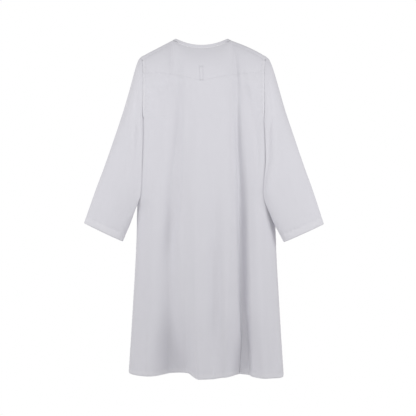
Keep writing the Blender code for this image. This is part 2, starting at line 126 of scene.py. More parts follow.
BACK_FOLDS = (
    ("left_seam", 0.212, 0.238, 0.272, 0.000, 0.000, 0.000, 0.000, 0.000, 0.0),
    ("left_crest", 0.180, 0.188, 0.205, 0.000, 0.002, 0.004, 0.000, -0.010, 0.0),
    ("left_trough", 0.089, 0.117, 0.118, -0.003, -0.010, -0.020, -0.030, -0.100, 0.3),
    ("left_floor", 0.060, 0.078, 0.061, 0.000, -0.002, -0.004, -0.016, -0.118, 0.0),
    ("middle_crest", 0.020, 0.024, 0.018, 0.000, 0.003, 0.004, 0.003, -0.012, 0.0),
    ("middle_dip", -0.020, -0.026, -0.032, 0.000, 0.002, 0.002, -0.004, -0.020, 0.0),
    ("inner_crest", -0.083, -0.088, -0.070, 0.000, 0.005, 0.010, 0.006, -0.052, 0.0),
    ("right_trough", -0.110, -0.128, -0.128, -0.005, -0.016, -0.030, -0.052, -0.128, 0.4),
    ("right_crest", -0.190, -0.205, -0.222, 0.000, 0.003, 0.006, 0.004, -0.020, 0.0),
    ("right_seam", -0.212, -0.250, -0.283, 0.000, 0.000, 0.000, 0.000, 0.000, 0.0),
)
FRONT_FOLDS = (
    ("left_seam", 0.212, 0.238, 0.272, 0.000, 0.000, 0.000, 0.000, 0.000, 0.0),
    ("left_crest", 0.176, 0.192, 0.214, 0.000, 0.002, 0.004, 0.003, 0.000, 0.0),
    ("left_trough", 0.120, 0.138, 0.150, 0.000, -0.006, -0.016, -0.034, -0.070, 0.4),
    ("left_lobe", 0.060, 0.070, 0.080, 0.000, 0.002, 0.004, 0.003, -0.004, 0.0),
    ("middle_trough", 0.020, 0.014, 0.004, 0.000, 0.000, -0.004, -0.020, -0.052, 0.2),
    ("right_lobe", -0.050, -0.058, -0.076, 0.000, 0.002, 0.005, 0.004, -0.002, 0.0),
    ("right_trough", -0.112, -0.128, -0.144, 0.000, -0.008, -0.020, -0.042, -0.078, 0.5),
    ("right_crest", -0.176, -0.196, -0.218, 0.000, 0.002, 0.004, 0.003, 0.000, 0.0),
    ("right_seam", -0.212, -0.250, -0.283, 0.000, 0.000, 0.000, 0.000, 0.000, 0.0),
)
SLEEVE_COLUMNS = ("name", "in_x", "in_y", "in_z", "out_x", "out_y", "out_z", "back_half", "front_half")
LEFT_SLEEVE = (
    ("armhole", 0.2125, 0.000, -0.2920, 0.2240, 0.000, -0.0625, 0.0625, 0.0625),
    ("head", 0.2124, 0.010, -0.2950, 0.2345, 0.001, -0.0742, 0.0660, 0.0630),
    ("cap", 0.2119, 0.020, -0.3000, 0.2405, 0.002, -0.0920, 0.0700, 0.0640),
    ("upper", 0.2119, 0.037, -0.3140, 0.2600, 0.006, -0.1640, 0.0740, 0.0620),
    ("bicep", 0.2118, 0.050, -0.3560, 0.2868, 0.014, -0.2580, 0.0720, 0.0560),
    ("above_elbow", 0.2135, 0.064, -0.4400, 0.3180, 0.022, -0.3540, 0.0600, 0.0500),
    ("elbow", 0.2180, 0.068, -0.5450, 0.3500, 0.028, -0.4480, 0.0500, 0.0440),
    ("forearm", 0.2480, 0.054, -0.6330, 0.3870, 0.030, -0.5480, 0.0400, 0.0340),
    ("cuff", 0.2868, 0.042, -0.7260, 0.4266, 0.030, -0.6608, 0.0280, 0.0280),
)
RIGHT_SLEEVE = (
    ("armhole", 0.2125, 0.000, -0.2920, 0.2240, 0.000, -0.0625, 0.0625, 0.0625),
    ("head", 0.2110, 0.010, -0.2950, 0.2355, 0.001, -0.0745, 0.0660, 0.0630),
    ("cap", 0.2105, 0.020, -0.3000, 0.2425, 0.003, -0.0920, 0.0700, 0.0630),
    ("upper", 0.2115, 0.038, -0.3140, 0.2645, 0.008, -0.1640, 0.0730, 0.0600),
    ("bicep", 0.2135, 0.058, -0.3560, 0.2910, 0.016, -0.2580, 0.0680, 0.0540),
    ("above_elbow", 0.2160, 0.084, -0.4400, 0.3220, 0.027, -0.3540, 0.0540, 0.0400),
    ("elbow", 0.2070, 0.103, -0.5480, 0.3530, 0.036, -0.4480, 0.0420, 0.0300),
    ("forearm", 0.2350, 0.092, -0.6400, 0.3885, 0.040, -0.5480, 0.0340, 0.0260),
    ("cuff", 0.2815, 0.076, -0.7270, 0.4262, 0.042, -0.6640, 0.0280, 0.0280),
)
PLACKET_HALF_SHARE = 0.0575
PLACKET_TOP_LEVEL = 0.985
PLACKET_BOTTOM_LEVEL = -0.105
PLACKET_CLEAR = 0.0019
BUTTON_LEVELS = (0.90, 0.60, 0.30, 0.00)
BUTTON_RADIUS = 0.0055
BUTTON_THICKNESS = 0.0024
BUTTON_CLEAR = 0.0024
# A button's profile from the middle of its face, round the rim, to the middle of its underside: shares of its
# radius and of its thickness. Its first rows are the dished face that the holes sink into.
BUTTON_PROFILE = (
    (0.02, 0.62), (0.10, 0.62), (0.16, 0.62), (0.22, 0.62), (0.28, 0.62), (0.34, 0.62), (0.40, 0.62),
    (0.48, 0.64), (0.58, 0.68), (0.68, 0.78), (0.76, 0.92), (0.84, 0.99), (0.92, 0.97), (0.97, 0.86),
    (1.0, 0.66), (1.0, 0.30), (0.95, 0.10), (0.80, 0.0), (0.40, 0.0), (0.02, 0.0),
)
BUTTON_FACE_ROWS = 12
BUTTON_SIDES = 64
BUTTON_LEVEL_STEP = 0.02
HOLE_PLACE = 0.00130
HOLE_DEPTH = 0.0010
HOLE_REACH = 0.00055
BUTTON_THREAD_HEIGHT = 0.60
BUTTON_THREAD_OFFSET = 0.0002
LOOP_MIDDLE = 0.014
LOOP_HALF_SHARE = 0.0165
LOOP_TOP_LEVEL = 0.712
LOOP_BOTTOM_LEVEL = 0.502
LOOP_CLEAR = 0.0012
LOOP_BULGE = 0.0005
LOOP_WALL = 0.0008

# Creases on top of the solids' folds. Each is a line of places from its upper to its lower end, with how far
# it reaches to each side there and how far it pushes the cloth out (+) or in (-).
CREASE_COLUMNS = ("z", "x", "reach", "push")
BACK_CREASES = {
    "right_fold": ((-0.05, -0.115, 0.006, 0.0), (-0.12, -0.116, 0.006, -0.0014),
        (-0.24, -0.119, 0.007, -0.0030), (-0.36, -0.118, 0.009, -0.0046), (-0.50, -0.121, 0.010, -0.0046),
        (-0.75, -0.131, 0.012, -0.0062), (-0.93, -0.137, 0.012, -0.0058), (-1.05, -0.147, 0.011, -0.0100),
        (-1.15, -0.152, 0.011, -0.0130), (-1.22, -0.154, 0.012, -0.0060)),
    "right_fold_lip": ((-0.30, -0.140, 0.010, 0.0), (-0.55, -0.151, 0.011, 0.0020),
        (-0.90, -0.160, 0.013, 0.0040), (-1.08, -0.166, 0.014, 0.0030), (-1.22, -0.168, 0.014, 0.0)),
    "right_ridge": ((-0.04, -0.098, 0.009, 0.0), (-0.14, -0.099, 0.010, 0.0022),
        (-0.28, -0.102, 0.010, 0.0034), (-0.45, -0.106, 0.011, 0.0038), (-0.75, -0.109, 0.012, 0.0038),
        (-0.93, -0.112, 0.014, 0.0052), (-1.02, -0.119, 0.016, 0.0090), (-1.08, -0.124, 0.017, 0.0120),
        (-1.15, -0.127, 0.017, 0.0115), (-1.19, -0.127, 0.017, 0.0055), (-1.22, -0.127, 0.017, 0.0000)),
    "left_fold": ((-0.14, 0.086, 0.013, 0.0), (-0.30, 0.089, 0.015, -0.0044),
        (-0.46, 0.090, 0.016, -0.0080), (-0.60, 0.101, 0.018, -0.0104), (-0.72, 0.116, 0.018, -0.0068),
        (-0.84, 0.126, 0.016, 0.0)),
    "left_fold_inner": ((-0.34, 0.072, 0.010, 0.0), (-0.52, 0.080, 0.011, -0.0022),
        (-0.70, 0.090, 0.010, 0.0)),
    "left_fold_lip": ((-0.34, 0.126, 0.012, 0.0), (-0.55, 0.139, 0.013, 0.0014),
        (-0.70, 0.150, 0.014, 0.0018), (-0.84, 0.156, 0.014, 0.0)),
    "low_left_fold": ((-0.80, 0.126, 0.024, 0.0), (-0.95, 0.114, 0.030, -0.0080),
        (-1.08, 0.105, 0.034, -0.0125), (-1.15, 0.103, 0.036, -0.0100), (-1.22, 0.101, 0.037, -0.0040)),
    "low_left_floor": ((-0.90, 0.056, 0.024, 0.0), (-1.06, 0.052, 0.024, 0.0060),
        (-1.22, 0.048, 0.024, 0.0)),
    "centre_fold": ((-0.52, -0.040, 0.014, 0.0), (-0.70, -0.041, 0.017, -0.0070),
        (-0.90, -0.041, 0.019, -0.0110), (-1.08, -0.040, 0.021, -0.0100), (-1.22, -0.038, 0.023, -0.0030)),
    "blade_level_left": ((-0.14, 0.160, 0.030, 0.0), (-0.215, 0.160, 0.030, 0.0055),
        (-0.29, 0.165, 0.030, 0.0)),
    "blade_level_right": ((-0.14, -0.160, 0.030, 0.0), (-0.215, -0.160, 0.030, 0.0050),
        (-0.29, -0.165, 0.030, 0.0)),
    "blade_left": ((-0.10, 0.152, 0.014, 0.0), (-0.20, 0.155, 0.014, -0.0018), (-0.32, 0.154, 0.015, 0.0)),
    "blade_right": ((-0.06, -0.126, 0.009, 0.0), (-0.15, -0.142, 0.010, -0.0020),
        (-0.24, -0.158, 0.012, -0.0026), (-0.36, -0.180, 0.014, 0.0)),
    "armhole_pull": ((-0.30, -0.178, 0.007, 0.0), (-0.40, -0.186, 0.007, -0.0014),
        (-0.52, -0.190, 0.008, 0.0)),
    "neck_right": ((-0.03, -0.117, 0.008, 0.0), (-0.09, -0.117, 0.009, -0.0012),
        (-0.16, -0.114, 0.010, 0.0)),
    "neck_left": ((-0.04, 0.094, 0.010, 0.0), (-0.11, 0.088, 0.010, -0.0012), (-0.19, 0.085, 0.011, 0.0)),
    "side_left": ((-0.36, 0.190, 0.012, 0.0), (-0.66, 0.206, 0.014, -0.0012), (-1.00, 0.222, 0.018, 0.0)),
    "waist_left": ((-0.85, 0.168, 0.008, 0.0), (-0.895, 0.176, 0.008, 0.0012), (-0.94, 0.186, 0.008, 0.0)),
    "side_right": ((-0.72, -0.222, 0.012, 0.0), (-0.95, -0.236, 0.013, -0.0016),
        (-1.22, -0.250, 0.016, -0.0030)),
    "hem_left": ((-1.04, 0.182, 0.010, 0.0), (-1.14, 0.186, 0.012, -0.0014),
        (-1.22, 0.190, 0.013, -0.0026)),
}
FRONT_CREASES = {
    "right_fold": ((-0.24, -0.118, 0.010, 0.0), (-0.60, -0.128, 0.011, -0.0050),
        (-0.95, -0.136, 0.013, -0.0080), (-1.22, -0.146, 0.014, -0.0100)),
    "left_fold": ((-0.28, 0.124, 0.010, 0.0), (-0.62, 0.138, 0.012, -0.0045),
        (-0.98, 0.146, 0.013, -0.0070), (-1.22, 0.152, 0.014, -0.0090)),
    "middle_fold": ((-0.47, 0.016, 0.012, 0.0), (-0.80, 0.010, 0.015, -0.0040),
        (-1.22, 0.004, 0.018, -0.0065)),
    "chest_left": ((-0.12, 0.142, 0.012, 0.0), (-0.22, 0.148, 0.013, -0.0018), (-0.34, 0.150, 0.014, 0.0)),
    "chest_right": ((-0.11, -0.146, 0.012, 0.0), (-0.23, -0.150, 0.013, -0.0020),
        (-0.36, -0.154, 0.014, 0.0)),
    "left_of_placket": ((-0.36, 0.050, 0.010, 0.0), (-0.55, 0.056, 0.013, -0.0022),
        (-0.78, 0.062, 0.014, 0.0)),
    "right_of_placket": ((-0.34, -0.044, 0.010, 0.0), (-0.52, -0.050, 0.013, -0.0020),
        (-0.74, -0.056, 0.014, 0.0)),
    "side_left": ((-0.42, 0.194, 0.012, 0.0), (-0.74, 0.210, 0.014, -0.0016), (-1.04, 0.226, 0.018, 0.0)),
    "side_right": ((-0.48, -0.198, 0.012, 0.0), (-0.76, -0.216, 0.014, -0.0016),
        (-1.08, -0.232, 0.018, 0.0)),
    "hem_left": ((-1.03, 0.196, 0.010, 0.0), (-1.14, 0.200, 0.012, -0.0016),
        (-1.22, 0.204, 0.014, -0.0028)),
}

# The cloth beside each armhole and under it is drawn out level, so the groove between body and sleeve is
# shallow: where that groove lies on each side, how far back its cloth is drawn, and what share of the way
GROOVE_COLUMNS = ("z", "left", "right", "left_level", "right_level", "share")
GROOVE = (
    (-0.080, 0.2200, 0.2200, 0.036, 0.036, 0.00),
    (-0.110, 0.2160, 0.2160, 0.058, 0.058, 0.50),
    (-0.150, 0.2130, 0.2130, 0.079, 0.079, 0.80),
    (-0.200, 0.2125, 0.2125, 0.092, 0.092, 0.86),
    (-0.250, 0.2125, 0.2125, 0.099, 0.099, 0.88),
    (-0.300, 0.2125, 0.2130, 0.103, 0.104, 0.90),
    (-0.360, 0.2125, 0.2140, 0.104, 0.107, 0.90),
    (-0.440, 0.2140, 0.2140, 0.103, 0.112, 0.90),
    (-0.520, 0.2170, 0.2100, 0.101, 0.115, 0.88),
    (-0.570, 0.2220, 0.2150, 0.097, 0.113, 0.82),
    (-0.620, 0.2370, 0.2360, 0.088, 0.104, 0.55),
    (-0.680, 0.2400, 0.2500, 0.082, 0.096, 0.22),
    (-0.750, 0.2430, 0.2560, 0.078, 0.090, 0.00),
)
GROOVE_BODY_REACH = 0.045
GROOVE_SLEEVE_REACH = 0.030
GROOVE_FRONT = -0.010
GROOVE_DEPTH = 0.030

# Creases of a sleeve: turn is in full turns from the outer edge through the back
SLEEVE_CREASE_COLUMNS = ("name", "along_top", "along_bottom", "turn_top", "turn_bottom",
                         "width_top", "width_bottom", "push")
LEFT_SLEEVE_CREASES = (
    ("head_pull", 0.02, 0.30, 0.16, 0.24, 0.020, 0.030, -0.0016),
    ("back_long", 0.20, 0.78, 0.30, 0.22, 0.022, 0.034, -0.0020),
    ("elbow_hollow", 0.46, 0.80, 0.36, 0.30, 0.020, 0.028, -0.0016),
    ("cuff_fall", 0.70, 0.97, 0.14, 0.13, 0.018, 0.026, -0.0012),
    ("front_long", 0.16, 0.74, 0.72, 0.78, 0.022, 0.034, -0.0020),
    ("front_elbow", 0.48, 0.84, 0.66, 0.70, 0.020, 0.030, -0.0016),
)
RIGHT_SLEEVE_CREASES = (
    ("head_pull", 0.03, 0.32, 0.15, 0.22, 0.020, 0.030, -0.0018),
    ("back_long", 0.24, 0.82, 0.28, 0.24, 0.022, 0.034, -0.0018),
    ("elbow_hollow", 0.50, 0.86, 0.38, 0.31, 0.020, 0.028, -0.0018),
    ("cuff_fall", 0.66, 0.97, 0.17, 0.14, 0.018, 0.026, -0.0010),
    ("front_long", 0.18, 0.76, 0.70, 0.77, 0.022, 0.034, -0.0020),
    ("front_elbow", 0.52, 0.88, 0.64, 0.69, 0.020, 0.030, -0.0014),
)

# The power of the sine that fades a sleeve's crease at both ends, and how many levels below the shoulder seam
# the body's creases begin to fade
SLEEVE_CREASE_FADE = 0.8
CREASE_END_LEVEL = 0.25

# The first rows above and below the armpit are eased into each other
ARMPIT_EASE_ROWS = 5
ARMPIT_EASE_REACH = 0.035
ARMPIT_EASE_SEAM = 0.12

# Sewing: how deep seams and lines of stitches dip and how far that reaches, and how far in each line lies
CLOTH_WALL = 0.0010
SEAM_DIP = 0.0003
YOKE_SEAM_DIP = 0.0006
STITCH_DIP = 0.0005
YOKE_STITCH_DIP = 0.0002
SHOULDER_STITCH_DIP = 0.0026
CUFF_STITCH_DIP = 1.6 * STITCH_DIP
SEAM_DIP_REACH = 0.0030
STITCH_DIP_REACH = 0.0014
WIDE_DIP_REACH = 0.0045
ROLL_DIP = 0.0009
ROLL_REACH = 0.0024
HEM_LINE = 0.0185
CUFF_LINE = 0.0270
SIDE_LINE = 0.0085
ARMHOLE_LINE = 0.0100
SHOULDER_LINE = 0.0380
SHOULDER_LINE_START = NECK_EDGE_SHARE + 0.01
YOKE_LINE = 0.0022
BINDING_LINE = 0.0030
PLACKET_LINE = 0.0030
PLACKET_CROSS_LINE = 0.0300
LOOP_LINE = 0.0018
PANEL_LINES = (("bottom", HEM_LINE, STITCH_DIP), ("left", SIDE_LINE, STITCH_DIP),
               ("right", SIDE_LINE, STITCH_DIP))
YOKE_LINES = (("bottom", YOKE_LINE, YOKE_STITCH_DIP), ("left", ARMHOLE_LINE, STITCH_DIP),
              ("right", ARMHOLE_LINE, STITCH_DIP))
DOUBLED_LIFT = 0.0003
DOUBLED_STEP = 0.0012
STITCH_LENGTH = 0.0024
STITCH_PITCH = 0.0032
STITCH_RADIUS = 0.00028
STITCH_LIFT = 0.2 * STITCH_DIP
STITCH_SIDES = 5
# Rings of a stitch: share of its length, share of its radius, and lift
STITCH_RINGS = ((0.0, 0.3, -0.00016), (0.22, 1.0, 0.00006), (0.78, 1.0, 0.00006), (1.0, 0.3, -0.00016))
BARTACK_LENGTH = 0.010
BARTACK_HALF_WIDTH = 0.0014
BARTACK_ROWS = 9
POCKET_ENDS = (-0.640, -0.800)
POCKET_COLUMNS = (3, -4)
BUTTONHOLE_HALF_LENGTH = 0.0075
BUTTONHOLE_STITCHES = 19
BUTTONHOLE_INNER = 0.0003
BUTTONHOLE_OUTER = 0.0015

# Puckers beside a line of stitches: their height, length and reach, and how they drift in step
PUCKER = 0.00035
PUCKER_LENGTH = 0.017
PUCKER_REACH = 0.012
PUCKER_DRIFT = 1.7
PUCKER_DRIFT_RATE = 41.0
CUFF_DRIFT = 1.5
CUFF_DRIFT_WAVES = 3.0

# Neck binding: its raised middle, the dip along its stitches at a share of its width, and its own puckers
BINDING_CROWN = 0.0009
BINDING_FLATNESS = 4
BINDING_DIP = 0.0004
BINDING_DIP_AT = 0.80
BINDING_DIP_REACH = 0.07
BINDING_PUCKER = 0.00018
BINDING_PUCKER_LENGTH = 0.011
BINDING_PUCKER_DRIFT = 60.0

# Placket and loop: how their edges turn under, and the dips along their stitches
PLACKET_ROLL = 0.0007
PLACKET_ROLL_REACH = 0.0010
PLACKET_DIP = 0.0003
PLACKET_DIP_REACH = 0.0011
PLACKET_PUCKER = 0.00016
PLACKET_PUCKER_LENGTH = 0.015
PLACKET_PUCKER_REACH = 0.006
PLACKET_DOUBLED = 0.9
LOOP_ROLL = 0.0006
LOOP_ROLL_REACH = 0.0009
LOOP_DIP = 0.0002
LOOP_DIP_LINE = 0.0022
LOOP_DIP_REACH = 0.0008
LOOP_DOUBLED = 0.3
LOOP_TACK_ROWS = (-4, 3)

# Cloth ripples too small to name: how high, how long along the width and the length, how far from a seam they
# fade, and how much of a sleeve's turn they fade over where its first and last column meet
RIPPLE_HEIGHT = 0.00045
RIPPLE_ACROSS = 0.045
RIPPLE_DOWN = 0.160
RIPPLE_TERMS = 26
RIPPLE_SEAM_FADE = 0.03
RIPPLE_JOIN_FADE = 0.6

# Colours, linear, with the share of its own colour in a thread's painted shade along its twist, and in a
# button's darker clouds
BODY_COLOUR = (0.660, 0.653, 0.696)
DOUBLED_COLOUR = (0.684, 0.677, 0.717)
THREAD_COLOUR = (0.690, 0.684, 0.722)
THREAD_PAINTED_SHADE = 0.9
BUTTON_COLOUR = (0.720, 0.712, 0.735)
BUTTON_SHADE = 0.88
FLOOR_COLOUR = (0.93, 0.93, 0.93)

# Cloth's finish: the weave, thicker threads as noise stretched (across, down), and shares of the tone
WEAVE_PITCH = 0.0009
WEAVE_RELIEF = 0.35
WARP_STREAKS = (620.0, 26.0)
WEFT_STREAKS = (34.0, 560.0)
CLOUD_STREAKS = (11.0, 7.0)
WARP_SHARE = 0.6
WEFT_SHARE = 0.4
DOUBLED_TONE = 0.85
SLUB_TONE = 0.30
CLOUD_TONE = 0.25
CLOTH_ROUGHNESS = 0.80
CLOTH_ROUGHNESS_CHANGE = 0.08
BUTTON_ROUGHNESS = 0.22
BUTTON_ROUGHNESS_CHANGE = 0.12

# How finely each surface is divided
BACK_STEPS = {"neck": 84, "shoulder": 48}
FRONT_STEPS = {"neck": 76, "shoulder": 40}
LOWER_ROWS = 176
BACK_UPPER_ROWS = 52
FRONT_UPPER_ROWS = 84
YOKE_ROWS = 44
SLEEVE_ROWS = 190
SLEEVE_SIDES = 112
BINDING_STEPS = 120
BINDING_ROWS = 14
PLACKET_ROWS = 169
PLACKET_STEPS = 30
LOOP_ROWS = 60
LOOP_STEPS = 12
SHORTEST_NORMAL = 1e-12


def column(table, columns, name):
    """One named column of a table as an array."""
    return np.array([row[columns.index(name)] for row in table])


def smooth(share):
    """Rise from 0 to 1 with level ends: 3 s squared less 2 s cubed."""
    share = np.clip(share, 0.0, 1.0)
    return share * share * (3.0 - 2.0 * share)


def flow(places, values, at):
    """Smooth curve through rows: cubic pieces whose slopes are the harmonic means of the rows' slopes."""
    places = np.asarray(places, dtype=float)
    values = np.asarray(values, dtype=float)
    if places[0] > places[-1]:
        places = places[::-1]
        values = values[::-1]
    steps = np.diff(places)
    slopes = np.diff(values) / steps
    before = slopes[:-1]
    after = slopes[1:]
    same_way = before * after > 0.0
    total = np.where(same_way, before + after, 1.0)
    inner = np.where(same_way, 2.0 * before * after / total, 0.0)
    tangents = np.concatenate((slopes[:1], inner, slopes[-1:]))
    at = np.clip(at, places[0], places[-1])
    piece = np.clip(np.searchsorted(places, at) - 1, 0, len(steps) - 1)
    share = (at - places[piece]) / steps[piece]
    blend = smooth(share)
    lead = share * (1.0 - share) ** 2 * steps[piece] * tangents[piece]
    trail = share ** 2 * (share - 1.0) * steps[piece] * tangents[piece + 1]
    return values[piece] * (1.0 - blend) + values[piece + 1] * blend + lead + trail


def armhole_x(height):
    """Armhole seam's distance from the middle: the armpit's, plus the flare times height to a power."""
    armpit = BODY_SECTIONS[0][BODY_COLUMNS.index("left")]
    return armpit + (X_SHOULDER_TIP - armpit) * height ** ARMHOLE_FLARE_POWER


def neck_curve(across, spread, half):
    """Neck: x is a sine and y a cosine of the share across, and z falls by a power of that cosine."""
    data = HALVES[half]
    turn = np.clip(across / NECK_EDGE_SHARE, -1.0, 1.0) * np.pi / 2.0
    middle = np.cos(turn)
    x = NECK_SHIFT + (NECK_HALF_WIDTH + BINDING_SPREAD * spread) * np.sin(turn)
    y = data["facing"] * (data["neck_depth"] + BINDING_MIDDLE_LEAN * spread) * middle
    fall = BINDING_SIDE_FALL + (BINDING_MIDDLE_FALL - BINDING_SIDE_FALL) * middle ** 2
    z = Z_NECK_POINT - data["neck_drop"] * middle ** NECK_DROP_POWER - fall * spread
    return x, y, z


def top_edge(across, half):
    """Upper edge: the neck curve in the middle, then a straight run to the shoulder tip."""
    spread = 1.0 + BINDING_GAP / BINDING_WIDTH
    x, y, z = neck_curve(across, spread, half)
    run = np.clip((np.abs(across) - NECK_EDGE_SHARE) / (1.0 - NECK_EDGE_SHARE), 0.0, 1.0)
    tip_x = np.sign(across) * X_SHOULDER_TIP
    arch = RIGHT_SHOULDER_ARCH * np.sin(np.pi * run) * (across < 0.0)
    return x + (tip_x - x) * run, y, z + (Z_SHOULDER_TIP - z) * run + arch


def fold_push(folds, x, z):
    """Push of the large folds: a smooth step from each fold line to the next, sharper beside a trough."""
    lines = [flow(FOLD_LINE_LEVELS, fold[1:4], z) for fold in folds]
    pushes = [flow(FOLD_PUSH_LEVELS, fold[4:9], z) for fold in folds]
    sharpness = column(folds, FOLD_COLUMNS, "sharpness")
    total = pushes[0]
    for index in range(len(folds) - 1):
        width = lines[index] - lines[index + 1]
        share = np.clip((lines[index] - x) / width, 0.0, 1.0)
        soft = smooth(share)
        into = sharpness[index + 1] * (share ** TROUGH_POWER - soft)
        out_of = sharpness[index] * (1.0 - (1.0 - share) ** TROUGH_POWER - soft)
        total = total + (pushes[index + 1] - pushes[index]) * (soft + into + out_of)
    return total


def body_surface(across, level, half):
    """Outer face of the body: rounded sections below the armpit, arched over the shoulder above it.

    Depth is the section's depth times a power curve of the share across, times the arch, plus the
    armhole's half ellipse and the push of the folds.
    """
    data = HALVES[half]
    height = np.clip(level, 0.0, 1.0)
    z_ring = Z_ARMPIT + np.clip(level, -1.0, 0.0) * (Z_ARMPIT - Z_HEM)
    heights = column(BODY_SECTIONS, BODY_COLUMNS, "z")
    ring = {name: flow(heights, column(BODY_SECTIONS, BODY_COLUMNS, name), z_ring)
            for name in BODY_COLUMNS[1:]}
    middle = (ring["left"] + ring["right"]) / 2.0
    half_width = (ring["left"] - ring["right"]) / 2.0 + armhole_x(height) - armhole_x(0.0)
    share = (1.0 - SPACING_MIX) * across + SPACING_MIX * np.sin(np.pi * across / 2.0)
    top_x, top_y, top_z = top_edge(across, half)
    lean = height ** SHOULDER_LEAN_POWER
    x = middle + half_width * (share * (1.0 - lean) + top_x / X_SHOULDER_TIP * lean)
    z = z_ring + (top_z - Z_ARMPIT) * height
    near_seam = np.abs(share)
    upward = smooth(height / CORNER_BLEND_HEIGHT)
    corner = 1.0 / SIDE_ROUNDNESS + (SHOULDER_CORNER - 1.0 / SIDE_ROUNDNESS) * upward
    rounding = np.clip(1.0 - near_seam ** SIDE_ROUNDNESS, 0.0, 1.0) ** corner
    over_shoulder = np.clip(1.0 - height ** SHOULDER_ROUNDNESS, 0.0, 1.0) ** (1.0 / SHOULDER_ROUNDNESS)
    down_the_neck = 1.0 - height ** MIDDLE_SLOPE_POWER
    neck_part = smooth(NECK_SLOPE_REACH * (1.0 - np.abs(across) / NECK_EDGE_SHARE))
    arch = over_shoulder + (down_the_neck - over_shoulder) * neck_part
    armhole = ARMHOLE_HALF_DEPTH * 2.0 * np.sqrt(height * (1.0 - height))
    armhole_reach = near_seam ** (ARMHOLE_POWER_LOW - (ARMHOLE_POWER_LOW - ARMHOLE_POWER_HIGH) * upward)
    folds = BACK_FOLDS if half == "back" else FRONT_FOLDS
    fading = (1.0 - height ** FOLD_FADE_UP) * (1.0 - near_seam ** FOLD_FADE_SIDE)
    push = fold_push(folds, x, z) * fading
    depth = ring[half] * rounding * arch + armhole * armhole_reach + push
    seam_y = ring["left_seam_y"] + (ring["right_seam_y"] - ring["left_seam_y"]) * (1.0 - share) / 2.0
    y = seam_y + data["facing"] * (depth + HALF_GAP) + top_y * height ** 2
    return np.stack((x, y, z), axis=-1)


def body_columns(steps):
    """Columns across a body half, with one exactly at each end of the neck."""
    left = np.linspace(1.0, NECK_EDGE_SHARE, steps["shoulder"] + 1)
    left = np.insert(left, 1, 1.0 - SEAM_STEP)
    neck = np.linspace(NECK_EDGE_SHARE, -NECK_EDGE_SHARE, steps["neck"] + 1)
    return np.concatenate((left, neck[1:-1], -left[::-1]))


def yoke_level(across):
    """Level of the yoke seam: its z is the end's, less the point's drop times a power of 1 less |across|."""
    top_z = top_edge(across, "back")[2]
    z = Z_YOKE_END - YOKE_POINT_DROP * (1.0 - np.abs(across)) ** YOKE_POINT_POWER
    return (z - Z_ARMPIT) / (top_z - Z_ARMPIT)


def eased_rows(count):
    """Rows from 0 to 1 as a sine, so they close up where the cloth turns over the shoulder."""
    return np.sin(np.linspace(0.0, np.pi / 2.0, count + 1))


def sleeve_surface(table, side, along, turn):
    """Outer face of a sleeve: each section is an oval between its inner and outer edge, x by the cosine
    of the turn and y by its sine, and the first sections follow the armhole's curve."""
    rows = np.linspace(0.0, 1.0, len(table))
    size = {name: flow(rows, column(table, SLEEVE_COLUMNS, name), along) for name in SLEEVE_COLUMNS[1:]}
    toward_out = (1.0 + np.cos(turn)) / 2.0
    x = size["in_x"] + (size["out_x"] - size["in_x"]) * toward_out
    swing = np.sin(turn)
    depth = np.where(swing > 0.0, size["back_half"], size["front_half"])
    y = size["in_y"] + (size["out_y"] - size["in_y"]) * toward_out + depth * swing
    z = size["in_z"] + (size["out_z"] - size["in_z"]) * toward_out
    first = table[0]
    straight = first[1] + (first[4] - first[1]) * toward_out
    follow = 1.0 - smooth(along * (len(table) - 1) / ARMHOLE_BLEND_ROWS)
    x = x + (armhole_x(toward_out) + ARMHOLE_GAP - straight) * follow
    return np.stack((side * x, y, z), axis=-1)


def grid_normals(points, closed=False):
    """Unit normals of a grid: the step along the columns crossed with the step along the rows."""
    if closed:
        wrapped = np.concatenate((points[:, -1:], points, points[:, :1]), axis=1)
        along = np.gradient(wrapped, axis=1)[:, 1:-1]
    else:
        along = np.gradient(points, axis=1)
    normals = np.cross(along, np.gradient(points, axis=0))
    size = np.linalg.norm(normals, axis=-1, keepdims=True)
    return normals / np.maximum(size, SHORTEST_NORMAL)


def arc(points, axis):
    """Length run along a grid from its first row or column: the running sum of the steps."""
    steps = np.linalg.norm(np.diff(points, axis=axis), axis=-1)
    start = np.zeros_like(np.take(steps, [0], axis=axis))
    return np.concatenate((start, np.cumsum(steps, axis=axis)), axis=axis)


def bell(distance, reach):
    """Bell curve: e to the minus distance over reach, squared."""
    return np.exp(-(distance / reach) ** 2)


def ripple(u, v, seed):
    """Small uneven waves: a sum of cosines with seeded slants, lengths and starts."""
    rng = np.random.default_rng(seed)
    total = np.zeros_like(u)
    for _ in range(RIPPLE_TERMS):
        across_rate = rng.normal() * np.pi / RIPPLE_ACROSS
        down_rate = rng.normal() * np.pi / RIPPLE_DOWN
        total += np.cos(across_rate * u + down_rate * v + rng.uniform(0.0, 2.0 * np.pi))
    return total * RIPPLE_HEIGHT / np.sqrt(RIPPLE_TERMS)


def crease_push(creases, points, level):
    """Push of the small creases: along each line a smooth curve of depths, times a bell across it.

    It fades by a smooth step up to the shoulder seam.
    """
    x = points[..., 0]
    z = points[..., 2]
    total = np.zeros_like(x)
    for places in creases.values():
        rows = [column(places, CREASE_COLUMNS, name) for name in CREASE_COLUMNS]
        line, reach, push = (flow(rows[0], row, z) for row in rows[1:])
        inside = (z <= rows[0][0]) & (z >= rows[0][-1])
        total += np.where(inside, push * bell(x - line, reach), 0.0)
    return total * smooth((1.0 - level) / CREASE_END_LEVEL)


def ease_armpit(points, across):
    """Blend each point near the armpit's height with its column's mean there, except at the seams."""
    neighbours = range(-ARMPIT_EASE_ROWS, ARMPIT_EASE_ROWS + 1)
    mean = sum(np.roll(points, shift, axis=0) for shift in neighbours) / len(neighbours)
    in_from_seams = smooth((1.0 - np.abs(across)) / ARMPIT_EASE_SEAM)
    blend = bell(points[..., 2] - Z_ARMPIT, ARMPIT_EASE_REACH) * in_from_seams
    return points + (mean - points) * blend[..., None]


